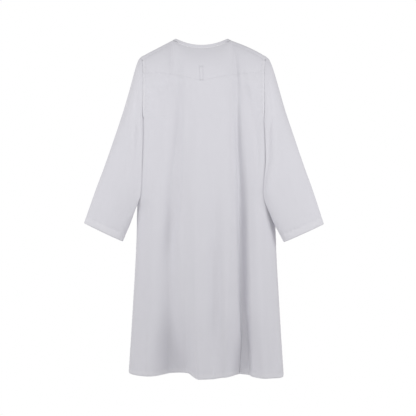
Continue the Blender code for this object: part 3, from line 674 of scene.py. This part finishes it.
def fill_groove(points):
    """Draw the cloth back beside the armholes. Every sheet near them is moved alike, so seams stay shut.

    y moves a share of the way to the groove's level, where it is below that level. The share falls off as
    a bell of the distance from the groove, and fades from the back to the side seam.
    """
    x, y, z = (points[..., axis] for axis in range(3))
    rows = dict(zip(GROOVE_COLUMNS, np.array(GROOVE).T))
    line, level = (
        np.where(x > 0.0, flow(rows["z"], rows[left], z), flow(rows["z"], rows[right], z))
        for left, right in (("left", "right"), ("left_level", "right_level")))
    away = np.abs(x) - line
    reach = np.where(away > 0.0, GROOVE_SLEEVE_REACH, GROOVE_BODY_REACH)
    share = flow(rows["z"], rows["share"], z) * bell(away, reach) * smooth((y - GROOVE_FRONT) / GROOVE_DEPTH)
    return np.stack((x, y + share * np.maximum(level - y, 0.0), z), axis=-1)


def sleeve_crease_push(creases, along, turn, girth):
    """Push of a sleeve's creases: a bell across each slanting line, faded at both ends."""
    total = np.zeros_like(girth * along * turn)
    turns = turn / (2.0 * np.pi)
    for crease in creases:
        row = dict(zip(SLEEVE_CREASE_COLUMNS, crease))
        run = np.clip((along - row["along_top"]) / (row["along_bottom"] - row["along_top"]), 0.0, 1.0)
        line = row["turn_top"] + (row["turn_bottom"] - row["turn_top"]) * run
        width = row["width_top"] + (row["width_bottom"] - row["width_top"]) * run
        fade = np.sin(np.pi * run) ** SLEEVE_CREASE_FADE
        total += row["push"] * bell((turns - line) * girth, width) * fade
    return total


class Wire:
    """One socket of a recipe. Sums on it add Math nodes to the same recipe."""

    def __init__(self, recipe, socket):
        self.recipe = recipe
        self.socket = socket

    def maths(self, operation, *values):
        return self.recipe.node("ShaderNodeMath", {"operation": operation}, dict(enumerate(values)))

    def __add__(self, other):
        return self.maths("ADD", self, other)

    def __radd__(self, other):
        return self.maths("ADD", other, self)

    def __sub__(self, other):
        return self.maths("SUBTRACT", self, other)

    def __rsub__(self, other):
        return self.maths("SUBTRACT", other, self)

    def __mul__(self, other):
        return self.maths("MULTIPLY", self, other)

    def __rmul__(self, other):
        return self.maths("MULTIPLY", other, self)

    def sine(self):
        return self.maths("SINE", self)


class Recipe:
    """The nodes of a material or of the world, with one method that adds a node."""

    def __init__(self, owner, shader="Principled BSDF"):
        owner.use_nodes = True
        self.owner = owner
        self.tree = owner.node_tree
        self.shader = self.tree.nodes[shader]

    def node(self, kind, settings, sockets, output=0):
        """Add a node: its settings first, then the values or wires of its sockets. Gives one output."""
        made = self.tree.nodes.new(kind)
        for name, value in settings.items():
            setattr(made, name, value)
        for name, value in sockets.items():
            self.put(made.inputs[name], value)
        return Wire(self, made.outputs[output])

    def put(self, socket, value):
        """Link a wire to a socket, or set the socket's value."""
        if isinstance(value, Wire):
            self.tree.links.new(value.socket, socket)
        else:
            socket.default_value = value

    def mixed(self, share, first, second):
        """A share of the way from one colour to another."""
        sockets = {0: share, 6: rgba(first), 7: rgba(second)}
        return self.node("ShaderNodeMix", {"data_type": "RGBA"}, sockets, 2)

    def bump(self, strength, distance, height):
        """Relief that changes only the shading."""
        return self.node("ShaderNodeBump", {}, {"Strength": strength, "Distance": distance, "Height": height})

    def finish(self, **sockets):
        """Fill the shader's sockets, named with underscores for spaces."""
        for name, value in sockets.items():
            self.put(self.shader.inputs[name.replace("_", " ")], value)
        return self.owner


def rgba(colour):
    """A colour with its alpha of 1."""
    return (*colour, 1.0)


def shaded(colour, share):
    """A share of a colour."""
    return tuple(share * part for part in colour)


def woven_cloth(name, plain, doubled):
    """Matte woven cloth: a product of two sines for the weave, streaks of noise, lighter where doubled."""
    recipe = Recipe(bpy.data.materials.new(name))
    place = recipe.node("ShaderNodeUVMap", {"uv_map": "cut"}, {})
    split = recipe.node("ShaderNodeSeparateXYZ", {}, {"Vector": place}).socket.node
    across = Wire(recipe, split.outputs["X"])
    down = Wire(recipe, split.outputs["Y"])
    rate = 2.0 * math.pi / WEAVE_PITCH
    weave = (across * rate).sine() * (down * rate).sine()

    def streaks(across_rate, down_rate):
        """Noise stretched along one set of threads."""
        spot = recipe.node("ShaderNodeCombineXYZ", {}, {"X": across * across_rate, "Y": down * down_rate})
        return recipe.node("ShaderNodeTexNoise", {"noise_dimensions": "2D"},
                           {"Vector": spot, "Scale": 1.0, "Detail": 2.0, "Roughness": 0.5})

    warp, weft, cloud = (streaks(*rates) for rates in (WARP_STREAKS, WEFT_STREAKS, CLOUD_STREAKS))
    slubs = warp * WARP_SHARE + weft * WEFT_SHARE
    twofold = recipe.node("ShaderNodeAttribute", {"attribute_name": "doubled"}, {}, 2)
    tone = twofold * DOUBLED_TONE + (slubs - 0.5) * SLUB_TONE + (cloud - 0.5) * CLOUD_TONE
    bumped = recipe.bump(0.35, 0.0005, weave * WEAVE_RELIEF + slubs)
    return recipe.finish(Base_Color=recipe.mixed(tone, plain, doubled), Normal=bumped,
                         Roughness=CLOTH_ROUGHNESS + cloud * CLOTH_ROUGHNESS_CHANGE,
                         Sheen_Weight=0.12, Sheen_Roughness=0.5, Specular_IOR_Level=0.25)


def sewing_thread(name):
    """Twisted thread: slanting lines round each stitch, painted darker as shade in the grooves of its twist,
    over a bump of the same lines.
    """
    recipe = Recipe(bpy.data.materials.new(name))
    place = recipe.node("ShaderNodeTexCoord", {}, {}, 3)
    lines = recipe.node("ShaderNodeTexWave", {"bands_direction": "DIAGONAL"},
                        {"Vector": place, "Scale": 900.0, "Distortion": 1.0})
    wave = recipe.node("ShaderNodeRGBToBW", {}, {0: lines})
    # Painted shade: the colour is darker along the slanting lines, where the twist's grooves would be shaded
    colour = recipe.mixed(wave, shaded(THREAD_COLOUR, THREAD_PAINTED_SHADE), THREAD_COLOUR)
    bumped = recipe.bump(0.4, 0.0001, wave)
    return recipe.finish(Base_Color=colour, Roughness=0.62, Normal=bumped, Sheen_Weight=0.1)


def pearly_button(name):
    """Moulded button: faint cloudy bands under a soft gloss."""
    recipe = Recipe(bpy.data.materials.new(name))
    place = recipe.node("ShaderNodeTexCoord", {}, {}, 3)
    cloud = recipe.node("ShaderNodeTexNoise", {},
                        {"Vector": place, "Scale": 260.0, "Detail": 3.0, "Distortion": 1.5})
    colour = recipe.mixed(cloud, shaded(BUTTON_COLOUR, BUTTON_SHADE), BUTTON_COLOUR)
    roughness = BUTTON_ROUGHNESS + cloud * BUTTON_ROUGHNESS_CHANGE
    return recipe.finish(Base_Color=colour, Roughness=roughness, Coat_Weight=0.3)


def floor_paint(name):
    """Plain pale floor."""
    recipe = Recipe(bpy.data.materials.new(name))
    return recipe.finish(Base_Color=rgba(FLOOR_COLOUR), Roughness=0.9, Specular_IOR_Level=0.1)


def add_to_scene(name, data):
    """An object for a mesh, a lamp or a camera."""
    thing = bpy.data.objects.new(name, data)
    bpy.context.scene.collection.objects.link(thing)
    return thing


def smooth_piece(name, points, faces, material):
    """An object whose mesh is shaded smooth."""
    mesh = bpy.data.meshes.new(name)
    mesh.from_pydata(points.reshape(-1, 3).tolist(), [], faces)
    mesh.polygons.foreach_set("use_smooth", np.ones(len(faces), dtype=bool))
    mesh.materials.append(material)
    return add_to_scene(name, mesh)


def numbered(rows, columns):
    """The grid's points numbered along its rows."""
    return np.arange(rows * columns).reshape(rows, columns)


def quads(numbers, outward):
    """Four-sided faces between the neighbours of a numbered grid, turned to face outward."""
    corners = [numbers[:-1, :-1], numbers[:-1, 1:], numbers[1:, 1:], numbers[1:, :-1]]
    if outward < 0:
        corners = corners[::-1]
    return np.stack(corners, axis=-1).reshape(-1, 4)


def closed_round(grid):
    """A grid with its first column repeated after its last."""
    return np.concatenate((grid, grid[:, :1]), axis=1)


def cloth_piece(name, points, outward, cloth, uv, doubled, wall=CLOTH_WALL, closed=False, crisp_row=None):
    """A sheet of cloth through a grid of points, thickened inward, with its cut's measure in metres as UV.

    Shading doesn't run round the edge of the row that is named as crisp.
    """
    rows, columns = points.shape[:2]
    numbers = numbered(rows, columns)
    cut_numbers = numbered(*uv.shape[:2])
    if closed:
        numbers = closed_round(numbers)
    piece = smooth_piece(name, points, quads(numbers, outward).tolist(), cloth)
    mesh = piece.data
    layer = mesh.uv_layers.new(name="cut")
    corners = quads(cut_numbers, outward).ravel()
    layer.data.foreach_set("uv", uv.reshape(-1, 2)[corners].ravel().astype(np.float32))
    share = mesh.attributes.new("doubled", "FLOAT", "POINT")
    share.data.foreach_set("value", doubled.ravel().astype(np.float32))
    if crisp_row is not None:
        ends = np.empty(2 * len(mesh.edges), dtype=np.int32)
        mesh.edges.foreach_get("vertices", ends)
        in_row = np.isin(ends.reshape(-1, 2), numbers[crisp_row]).all(axis=1)
        sharp = mesh.attributes.new("sharp_edge", "BOOLEAN", "EDGE")
        sharp.data.foreach_set("value", in_row)
    shell = piece.modifiers.new("wall", "SOLIDIFY")
    shell.thickness = wall
    shell.offset = -1.0
    return piece


def place_piece(piece, slot, *nodes):
    """Let a piece move with the robe, and stand for its solids."""
    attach(piece, "root")
    if nodes:
        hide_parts(*nodes)


def line_in_from(points, normals, gap, edge):
    """Points and normals at a distance in from one edge of a grid, one for each row or column.

    The running length from the edge is searched for the step that passes the distance, and the place is
    shared out between the two ends of that step.
    """
    turned = {
        "bottom": lambda grid: grid,
        "top": lambda grid: grid[::-1],
        "left": lambda grid: np.swapaxes(grid, 0, 1),
        "right": lambda grid: np.swapaxes(grid, 0, 1)[::-1],
    }[edge]
    grid = turned(points)
    around = turned(normals)
    run = arc(grid, 0)
    low = np.clip((run < gap).sum(axis=0) - 1, 0, len(run) - 2)
    lane = np.arange(grid.shape[1])
    share = ((gap - run[low, lane]) / (run[low + 1, lane] - run[low, lane]))[:, None]
    path = grid[low, lane] * (1.0 - share) + grid[low + 1, lane] * share
    facing = around[low, lane] * (1.0 - share) + around[low + 1, lane] * share
    return path, facing


def stitches_on(path, facing):
    """Start, end and facing of each stitch along a path: evenly spaced places on its running length."""
    run = np.concatenate(([0.0], np.cumsum(np.linalg.norm(np.diff(path, axis=0), axis=1))))
    starts = np.arange(STITCH_PITCH / 2.0, run[-1] - STITCH_LENGTH, STITCH_PITCH)

    def at(values, places):
        return np.stack([np.interp(places, run, values[:, axis]) for axis in range(3)], axis=-1)

    return at(path, starts), at(path, starts + STITCH_LENGTH), at(facing, starts + STITCH_LENGTH / 2.0)


def stitched_lines(points, normals, lines):
    """Stitches along lines, each given by an edge and how far in from it the line runs."""
    return [stitches_on(*line_in_from(points, normals, gap, edge)) for edge, gap, *_ in lines]


def stitch_mesh(name, runs, material):
    """All the stitches of a piece: short tubes whose ends dip into the cloth.

    Each ring of a tube is the point along the stitch, raised by its own lift, plus a circle in the plane
    of the facing and the side.
    """
    start, end, facing = (np.concatenate([run[part] for run in runs]) for part in range(3))
    facing = facing / np.linalg.norm(facing, axis=1, keepdims=True)
    side = np.cross(facing, end - start)
    side = side / np.linalg.norm(side, axis=1, keepdims=True)
    turn = np.linspace(0.0, 2.0 * np.pi, STITCH_SIDES, endpoint=False)
    circle = facing[:, None] * np.sin(turn)[None, :, None] + side[:, None] * np.cos(turn)[None, :, None]
    rings = []
    for share, thick, lift in STITCH_RINGS:
        centre = start + (end - start) * share + facing * (lift + STITCH_LIFT)
        rings.append(centre[:, None] + circle * (STITCH_RADIUS * thick))
    points = np.stack(rings, axis=1)
    numbers = numbered(len(STITCH_RINGS), STITCH_SIDES)
    following = np.roll(numbers, -1, axis=1)
    tube = np.stack((numbers[:-1], numbers[1:], following[1:], following[:-1]), axis=-1).reshape(-1, 4)
    faces = []
    for part in (tube, numbers[:1], numbers[-1:, ::-1]):
        every = part[None] + np.arange(len(points))[:, None, None] * numbers.size
        faces += every.reshape(-1, part.shape[1]).tolist()
    return smooth_piece(name, points, faces, material)


def bartack(centre, facing, direction):
    """A dense bar of stitches: short rows side by side across its own direction."""
    direction = np.asarray(direction) - facing * np.dot(direction, facing)
    direction = direction / np.linalg.norm(direction)
    steps = np.linspace(-0.5, 0.5, BARTACK_ROWS)[:, None] * BARTACK_LENGTH
    middle = centre + direction * steps
    reach = np.cross(facing, direction) * BARTACK_HALF_WIDTH
    return middle - reach, middle + reach, np.repeat(facing[None], BARTACK_ROWS, axis=0)


def buttonhole(centre, facing, up):
    """Stitches out from both edges of an upright buttonhole, evenly spaced up and down from its middle."""
    up = up / np.linalg.norm(up)
    side = np.cross(facing, up)
    steps = np.linspace(-BUTTONHOLE_HALF_LENGTH, BUTTONHOLE_HALF_LENGTH, BUTTONHOLE_STITCHES)[:, None]
    middle = centre + up * steps
    facings = np.repeat(facing[None], len(steps), axis=0)
    return [(middle + side * edge * BUTTONHOLE_INNER, middle + side * edge * BUTTONHOLE_OUTER, facings)
            for edge in (-1.0, 1.0)]


def pushed(points, normals, push, outward, closed=False):
    """Points moved along their normals, with their new normals."""
    moved = points + normals * push[..., None]
    return moved, grid_normals(moved, closed) * outward


def from_nearer(run, axis):
    """Distance from the nearer of two opposite edges."""
    return np.minimum(run, np.take(run, [-1], axis=axis) - run)


def inside_line(distance):
    """Share of doubled cloth at a distance inside a line of stitches: a smooth step across the line."""
    return smooth(distance / DOUBLED_STEP + 0.5)


def cut_measure(across, down):
    """UV of a cut in metres, from its middle across and from its first row down."""
    return np.stack((across - across[:, -1:] / 2.0, down), axis=-1)


def sewn_panel(name, points, outward, cloth, seed, extra, lines, seams, doubled_lines, rolled=(),
               crisp_row=None):
    """A panel of the body with its sewing worked in: its cloth, its points, normals, and runs of stitches.

    Every push is along the outward normal: seams dip by a bell from their edge, stitch lines by a bell
    from their own distance, doubled cloth rises inside its line, and puckers wave beside each line.
    """
    normals = grid_normals(points) * outward
    down = arc(points, 0)
    across = arc(points, 1)
    edges = {
        "bottom": down,
        "top": down[-1:] - down,
        "left": across,
        "right": across[:, -1:] - across,
    }
    hush = np.ones_like(down)
    for edge in seams:
        hush = hush * smooth(edges[edge] / RIPPLE_SEAM_FADE)
    push = ripple(across, down, seed) * hush + extra
    for edge, dip in seams.items():
        push = push - dip * bell(edges[edge], SEAM_DIP_REACH)
    for edge in rolled:
        push = push - ROLL_DIP * bell(edges[edge], ROLL_REACH)
    for edge, gap, dip in lines:
        away = edges[edge] - gap
        along = across if edge in ("bottom", "top") else down
        drift = PUCKER_DRIFT * np.sin(along * PUCKER_DRIFT_RATE + seed)
        wave = np.sin(along * 2.0 * np.pi / PUCKER_LENGTH + drift)
        push = push - dip * bell(away, STITCH_DIP_REACH)
        push = push + PUCKER * wave * bell(away, PUCKER_REACH)
    doubled = np.zeros_like(push)
    for edge, gap, _ in doubled_lines:
        doubled = np.maximum(doubled, inside_line(gap - edges[edge]))
    points, normals = pushed(points, normals, push + DOUBLED_LIFT * doubled, outward)
    uv = cut_measure(across, down)
    piece = cloth_piece(name, points, outward, cloth, uv, doubled, crisp_row=crisp_row)
    return piece, points, normals, stitched_lines(points, normals, lines)


def make_back(cloth, thread):
    """Back panel from the hem to the yoke seam, with its stitches."""
    across = body_columns(BACK_STEPS)
    seam = yoke_level(across) - YOKE_HALF_GAP / (Z_SHOULDER_TIP - Z_ARMPIT)
    lower = np.linspace(-1.0, 0.0, LOWER_ROWS + 1)[:-1, None] * np.ones_like(across)
    upper = np.linspace(0.0, 1.0, BACK_UPPER_ROWS + 1)[:, None] * seam
    level = np.concatenate((lower, upper))
    points = fill_groove(ease_armpit(body_surface(across[None, :], level, "back"), across))
    piece, points, normals, runs = sewn_panel(
        "back_panel_cloth", points, 1.0, cloth, 11, crease_push(BACK_CREASES, points, level), PANEL_LINES,
        {"top": YOKE_SEAM_DIP, "left": SEAM_DIP, "right": SEAM_DIP}, PANEL_LINES, ("bottom",), crisp_row=-1)
    for place in POCKET_COLUMNS:
        for z in POCKET_ENDS:
            row = int(np.argmin(np.abs(points[:, place, 2] - z)))
            runs.append(bartack(points[row, place], normals[row, place], (0.0, 1.0, 0.0)))
    return piece, stitch_mesh("back_panel_stitches", runs, thread)


def make_yoke(cloth, thread):
    """Back yoke over to the shoulder seams and the neck, stitched just above its seam."""
    across = body_columns(BACK_STEPS)
    seam = yoke_level(across) + YOKE_HALF_GAP / (Z_SHOULDER_TIP - Z_ARMPIT)
    level = seam + (1.0 - seam) * eased_rows(YOKE_ROWS)[:, None]
    points = fill_groove(body_surface(across[None, :], level, "back"))
    shoulder = np.abs(across) > SHOULDER_LINE_START
    down = arc(points, 0)
    to_line = down[-1:] - down - SHOULDER_LINE
    wave = np.sin(arc(points, 1) * 2.0 * np.pi / PUCKER_LENGTH)
    extra = crease_push(BACK_CREASES, points, level)
    extra = extra - SHOULDER_STITCH_DIP * bell(to_line, WIDE_DIP_REACH) * shoulder
    extra = extra + PUCKER * wave * bell(to_line, PUCKER_REACH) * shoulder
    piece, points, normals, runs = sewn_panel(
        "back_yoke_cloth", points, 1.0, cloth, 12, extra, YOKE_LINES,
        {"bottom": YOKE_SEAM_DIP, "top": SEAM_DIP, "left": SEAM_DIP, "right": SEAM_DIP}, YOKE_LINES[1:],
        crisp_row=0)
    path, facing = line_in_from(points, normals, SHOULDER_LINE, "top")
    for part in (across > SHOULDER_LINE_START, across < -SHOULDER_LINE_START):
        runs.append(stitches_on(path[part], facing[part]))
    return piece, stitch_mesh("back_yoke_stitches", runs, thread)


def make_front(cloth, thread):
    """Front panel from the hem to the shoulder seams and the neck, finished like the back."""
    across = body_columns(FRONT_STEPS)
    lower = np.linspace(-1.0, 0.0, LOWER_ROWS + 1)[:-1]
    level = np.concatenate((lower, eased_rows(FRONT_UPPER_ROWS)))[:, None]
    points = fill_groove(ease_armpit(body_surface(across[None, :], level, "front"), across))
    piece, _, _, runs = sewn_panel(
        "front_panel_cloth", points, -1.0, cloth, 13, crease_push(FRONT_CREASES, points, level), PANEL_LINES,
        {"top": SEAM_DIP, "left": SEAM_DIP, "right": SEAM_DIP}, PANEL_LINES, ("bottom",))
    return piece, stitch_mesh("front_panel_stitches", runs, thread)


def make_sleeve(name, table, creases, side, seed, cloth, thread):
    """One sleeve, a tube open at the armhole and the cuff, with a stitched cuff hem.

    It is pushed as a panel is. Its ripples fade where its first and last column meet, and its puckers go
    round in whole waves.
    """
    along = np.linspace(0.0, 1.0, SLEEVE_ROWS + 1)[:, None]
    turn = np.linspace(0.0, 2.0 * np.pi, SLEEVE_SIDES, endpoint=False)[None, :]
    outward = -side
    points = fill_groove(sleeve_surface(table, side, along, turn))
    normals = grid_normals(points, True) * outward
    girth = arc(closed_round(points), 1)[:, -1:]
    run = arc(points, 0)
    across = arc(points, 1)
    round_turn = across / girth * 2.0 * np.pi
    to_cuff = run[-1:] - run
    to_line = to_cuff - CUFF_LINE
    waves = ripple(across, run, seed) * smooth(run / RIPPLE_SEAM_FADE)
    for past in (2.0 * np.pi - round_turn, round_turn):
        waves = waves * smooth(past / RIPPLE_JOIN_FADE)
    drift = CUFF_DRIFT * np.sin(CUFF_DRIFT_WAVES * round_turn)
    pucker = np.sin(np.round(girth / PUCKER_LENGTH) * round_turn + drift)
    doubled = inside_line(-to_line)
    push = sleeve_crease_push(creases, along, turn, girth) + waves - SEAM_DIP * bell(run, SEAM_DIP_REACH)
    push = push - CUFF_STITCH_DIP * bell(to_line, WIDE_DIP_REACH)
    push = push + PUCKER * pucker * bell(to_line, PUCKER_REACH)
    push = push + DOUBLED_LIFT * doubled - ROLL_DIP * bell(to_cuff, ROLL_REACH)
    points, normals = pushed(points, normals, push, outward, closed=True)
    wide = closed_round(points)
    uv = cut_measure(arc(wide, 1), arc(wide, 0))
    piece = cloth_piece(name + "_cloth", points, outward, cloth, uv, doubled, closed=True)
    path, facing = line_in_from(points, normals, CUFF_LINE, "top")
    runs = [stitches_on(np.concatenate((path, path[:1])), np.concatenate((facing, facing[:1])))]
    return piece, stitch_mesh(name + "_stitches", runs, thread)


def make_binding(cloth, thread):
    """Neck binding: a band round the neck, open at the slit, raised across its width as a flat arch is."""
    across = np.linspace(NECK_EDGE_SHARE, -NECK_EDGE_SHARE, BINDING_STEPS + 1)
    middle = len(across) // 2
    slit = HALF_GAP / NECK_HALF_WIDTH * NECK_EDGE_SHARE
    left = np.concatenate(([slit], across[1:middle][::-1]))
    right = np.concatenate((across[middle + 1:-1][::-1], [-slit]))
    spread = np.linspace(0.0, 1.0, BINDING_ROWS + 1)[:, None]
    parts = ((left, "front"), (across, "back"), (right, "front"))
    points = np.concatenate([np.stack(neck_curve(part[None, :], spread, half), axis=-1)
                             for part, half in parts], axis=1)
    crown = BINDING_CROWN * np.sqrt(np.clip(1.0 - (2.0 * spread - 1.0) ** BINDING_FLATNESS, 0.0, 1.0))
    dip = BINDING_DIP * bell(spread - BINDING_DIP_AT, BINDING_DIP_REACH)
    run = arc(points, 1)
    drift = np.sin(run * BINDING_PUCKER_DRIFT)
    pucker = BINDING_PUCKER * np.sin(run * 2.0 * np.pi / BINDING_PUCKER_LENGTH + drift) * spread
    points, normals = pushed(points, -grid_normals(points), crown - dip + pucker, -1.0)
    uv = np.stack((run, arc(points, 0)), axis=-1)
    piece = cloth_piece("neck_binding_cloth", points, -1.0, cloth, uv, np.zeros(run.shape))
    runs = stitched_lines(points, normals, [("top", BINDING_LINE)])
    return piece, stitch_mesh("neck_binding_stitches", runs, thread)


def strip(levels, middle, half_share, half, columns):
    """An upright strip of the body's surface."""
    across = middle + half_share * np.linspace(1.0, -1.0, columns)
    return body_surface(across[None, :], levels[:, None], half)


def make_placket(cloth, thread):
    """Placket: a strip moved out along its normals, its edges turned under and its stitches sunk by bells."""
    levels = np.linspace(PLACKET_BOTTOM_LEVEL, PLACKET_TOP_LEVEL, PLACKET_ROWS + 1)
    points = strip(levels, 0.0, PLACKET_HALF_SHARE, "front", PLACKET_STEPS + 1)
    down = arc(points, 0)
    across = arc(points, 1)
    to_edge = from_nearer(across, 1)
    to_line = to_edge - PLACKET_LINE
    rolls = (to_edge, from_nearer(down, 0))
    dips = (to_line, down - PLACKET_LINE, down - PLACKET_CROSS_LINE)
    push = PLACKET_CLEAR - PLACKET_ROLL * sum(bell(away, PLACKET_ROLL_REACH) for away in rolls)
    push = push - PLACKET_DIP * sum(bell(away, PLACKET_DIP_REACH) for away in dips)
    wave = np.sin(down * 2.0 * np.pi / PLACKET_PUCKER_LENGTH)
    push = push + PLACKET_PUCKER * wave * bell(to_line, PLACKET_PUCKER_REACH)
    points, normals = pushed(points, -grid_normals(points), push, -1.0)
    uv = np.stack((across, down), axis=-1)
    piece = cloth_piece("placket_cloth", points, -1.0, cloth, uv, np.full(down.shape, PLACKET_DOUBLED))
    lines = [(edge, PLACKET_LINE) for edge in ("left", "right", "bottom")] + [("bottom", PLACKET_CROSS_LINE)]
    runs = stitched_lines(points, normals, lines)
    middle = points.shape[1] // 2
    for level in BUTTON_LEVELS:
        row = int(np.argmin(np.abs(levels - level)))
        up = points[row + 1, middle] - points[row - 1, middle]
        runs += buttonhole(points[row, middle], normals[row, middle], up)
    return piece, stitch_mesh("placket_stitches", runs, thread)


def make_loop(cloth, thread):
    """Locker loop: a narrow strip moved out by half a sine, sewn down at both ends."""
    levels = np.linspace(LOOP_BOTTOM_LEVEL, LOOP_TOP_LEVEL, LOOP_ROWS + 1)
    points = strip(levels, LOOP_MIDDLE, LOOP_HALF_SHARE, "back", LOOP_STEPS + 1)
    across = arc(points, 1)
    to_edge = from_nearer(across, 1)
    push = LOOP_CLEAR + LOOP_BULGE * np.sin(np.linspace(0.0, np.pi, len(levels)))[:, None]
    push = push - LOOP_ROLL * bell(to_edge, LOOP_ROLL_REACH)
    push = push - LOOP_DIP * bell(to_edge - LOOP_DIP_LINE, LOOP_DIP_REACH)
    points, normals = pushed(points, grid_normals(points), push, 1.0)
    uv = np.stack((across, arc(points, 0)), axis=-1)
    doubled = np.full(across.shape, LOOP_DOUBLED)
    piece = cloth_piece("locker_loop_cloth", points, 1.0, cloth, uv, doubled, wall=LOOP_WALL)
    runs = stitched_lines(points, normals, [("left", LOOP_LINE), ("right", LOOP_LINE)])
    middle = points.shape[1] // 2
    runs += [bartack(points[row, middle], normals[row, middle], (1.0, 0.0, 0.0)) for row in LOOP_TACK_ROWS]
    return piece, stitch_mesh("locker_loop_stitches", runs, thread)


def make_button(number, level, plastic, thread):
    """A four-hole button: a turned profile with a dished face and a rim, sunk by a bell at each hole.

    It is closed in the middle of both sides, and its thread crosses the face in two pairs of stitches.
    """
    levels = level + np.array((-BUTTON_LEVEL_STEP, 0.0, BUTTON_LEVEL_STEP))
    places = strip(levels, 0.0, PLACKET_HALF_SHARE, "front", 3)
    normal = -grid_normals(places)[1, 1]
    centre = places[1, 1] + normal * BUTTON_CLEAR
    side = np.cross((0.0, 0.0, 1.0), normal)
    side = side / np.linalg.norm(side)
    up = np.cross(normal, side)
    turn = np.linspace(0.0, 2.0 * np.pi, BUTTON_SIDES, endpoint=False)
    profile = np.array(BUTTON_PROFILE)
    radius = profile[:, :1] * BUTTON_RADIUS
    x = radius * np.cos(turn)
    y = radius * np.sin(turn)
    lift = profile[:, 1:] * BUTTON_THICKNESS * np.ones_like(turn)
    face = (np.arange(len(profile)) < BUTTON_FACE_ROWS)[:, None]
    holes = (-HOLE_PLACE, HOLE_PLACE)
    for hole_x in holes:
        for hole_y in holes:
            lift = lift - HOLE_DEPTH * bell(np.hypot(x - hole_x, y - hole_y), HOLE_REACH) * face
    grid = centre + side * x[..., None] + up * y[..., None] + normal * lift[..., None]
    numbers = numbered(*x.shape)
    faces = quads(closed_round(numbers), -1).tolist() + [numbers[0].tolist(), numbers[-1][::-1].tolist()]
    button = smooth_piece("button_%d_face" % number, grid, faces, plastic)
    offsets = (-BUTTON_THREAD_OFFSET, BUTTON_THREAD_OFFSET)
    heights = np.array([hole + offset for hole in holes for offset in offsets])
    middle = centre + normal * BUTTON_THREAD_HEIGHT * BUTTON_THICKNESS
    starts, ends = (middle + side * hole + up * heights[:, None] for hole in holes)
    facing = np.repeat(normal[None], len(heights), axis=0)
    return button, stitch_mesh("button_%d_thread" % number, [(starts, ends, facing)], thread)


def aim(thing, target):
    """Turn a light or camera toward a point."""
    thing.rotation_mode = "QUATERNION"
    thing.rotation_quaternion = (Vector(target) - thing.location).to_track_quat("-Z", "Y")


def add_camera():
    """The photograph's camera, straight at the back."""
    data = bpy.data.cameras.new("photo_camera")
    data.sensor_width = SENSOR
    data.lens = SENSOR * CAMERA_PLACE[1] / PHOTO_WIDTH
    camera = add_to_scene("photo_camera", data)
    camera.location = CAMERA_PLACE
    aim(camera, (CAMERA_PLACE[0], 0.0, CAMERA_PLACE[2]))
    bpy.context.scene.camera = camera


def add_lights():
    """Soft studio light: wide lamps round the robe, and an even pale surround that is white to look at."""
    for name, place, target, side, power in LIGHTS:
        data = bpy.data.lights.new(name, "AREA")
        data.size = side
        data.energy = power
        lamp = add_to_scene(name, data)
        lamp.location = place
        aim(lamp, target)
    surround = Recipe(bpy.data.worlds.new("studio"), "Background")
    seen = surround.node("ShaderNodeLightPath", {}, {}, "Is Camera Ray")
    strength = surround.node("ShaderNodeMapRange", {}, {"Value": seen, "To Min": WORLD_LIGHT, "To Max": 1.0})
    bpy.context.scene.world = surround.finish(Color=rgba((1.0, 1.0, 1.0)), Strength=strength)


def add_floor():
    """Plain pale floor under the robe, at the height of a wearer's feet."""
    x, y = np.meshgrid(*FLOOR_SPAN)
    points = np.stack((x, y, np.full_like(x, FLOOR_HEIGHT)), axis=-1)
    faces = quads(numbered(*x.shape), 1).tolist()
    smooth_piece("floor", points, faces, floor_paint("floor_paint"))


add_camera()
add_lights()
add_floor()

cloth = woven_cloth("robe_cloth", BODY_COLOUR, DOUBLED_COLOUR)
thread = sewing_thread("white_thread")
plastic = pearly_button("pearl_button")

# Each piece: its solid, its material slot, its cut's width and length, its cut's area, and what holds it
PIECES = (
    (make_back(cloth, thread), "back_panel", "cloth", (0.74, 1.08), 0.70, ["back_yoke"]),
    (make_yoke(cloth, thread), "back_yoke", "cloth", (0.47, 0.19), 0.070, ["front_panel"]),
    (make_front(cloth, thread), "front_panel", "cloth", (0.74, 1.24), 0.75, ["back_yoke"]),
    (make_sleeve("sleeve_left", LEFT_SLEEVE, LEFT_SLEEVE_CREASES, 1.0, 14, cloth, thread),
     "sleeve_left", "sleeve_cloth", (0.48, 0.62), 0.22, ["back_yoke"]),
    (make_sleeve("sleeve_right", RIGHT_SLEEVE, RIGHT_SLEEVE_CREASES, -1.0, 15, cloth, thread),
     "sleeve_right", "sleeve_cloth", (0.48, 0.62), 0.22, ["back_yoke"]),
    (make_binding(cloth, thread), "neck_binding", "binding_cloth", (0.013, 0.50), None,
     ["back_yoke", "front_panel"]),
    (make_placket(cloth, thread), "placket", "cloth", (0.035, 0.300), None, ["front_panel"]),
    (make_loop(cloth, thread), "locker_loop", "binding_cloth", (0.010, 0.055), None, ["back_yoke"]),
)
for (piece, sewing), node, slot, flat, area, carriers in PIECES:
    place_piece(piece, slot, node)
    place_piece(sewing, slot)

for number, level in enumerate(BUTTON_LEVELS, start=1):
    button, sewing = make_button(number, level, plastic, thread)
    place_piece(button, "button_white", "button_%d" % number)
    place_piece(sewing, "binding_cloth")

bpy.context.scene.view_settings.view_transform = "Standard"

bpy.context.view_layer.update()
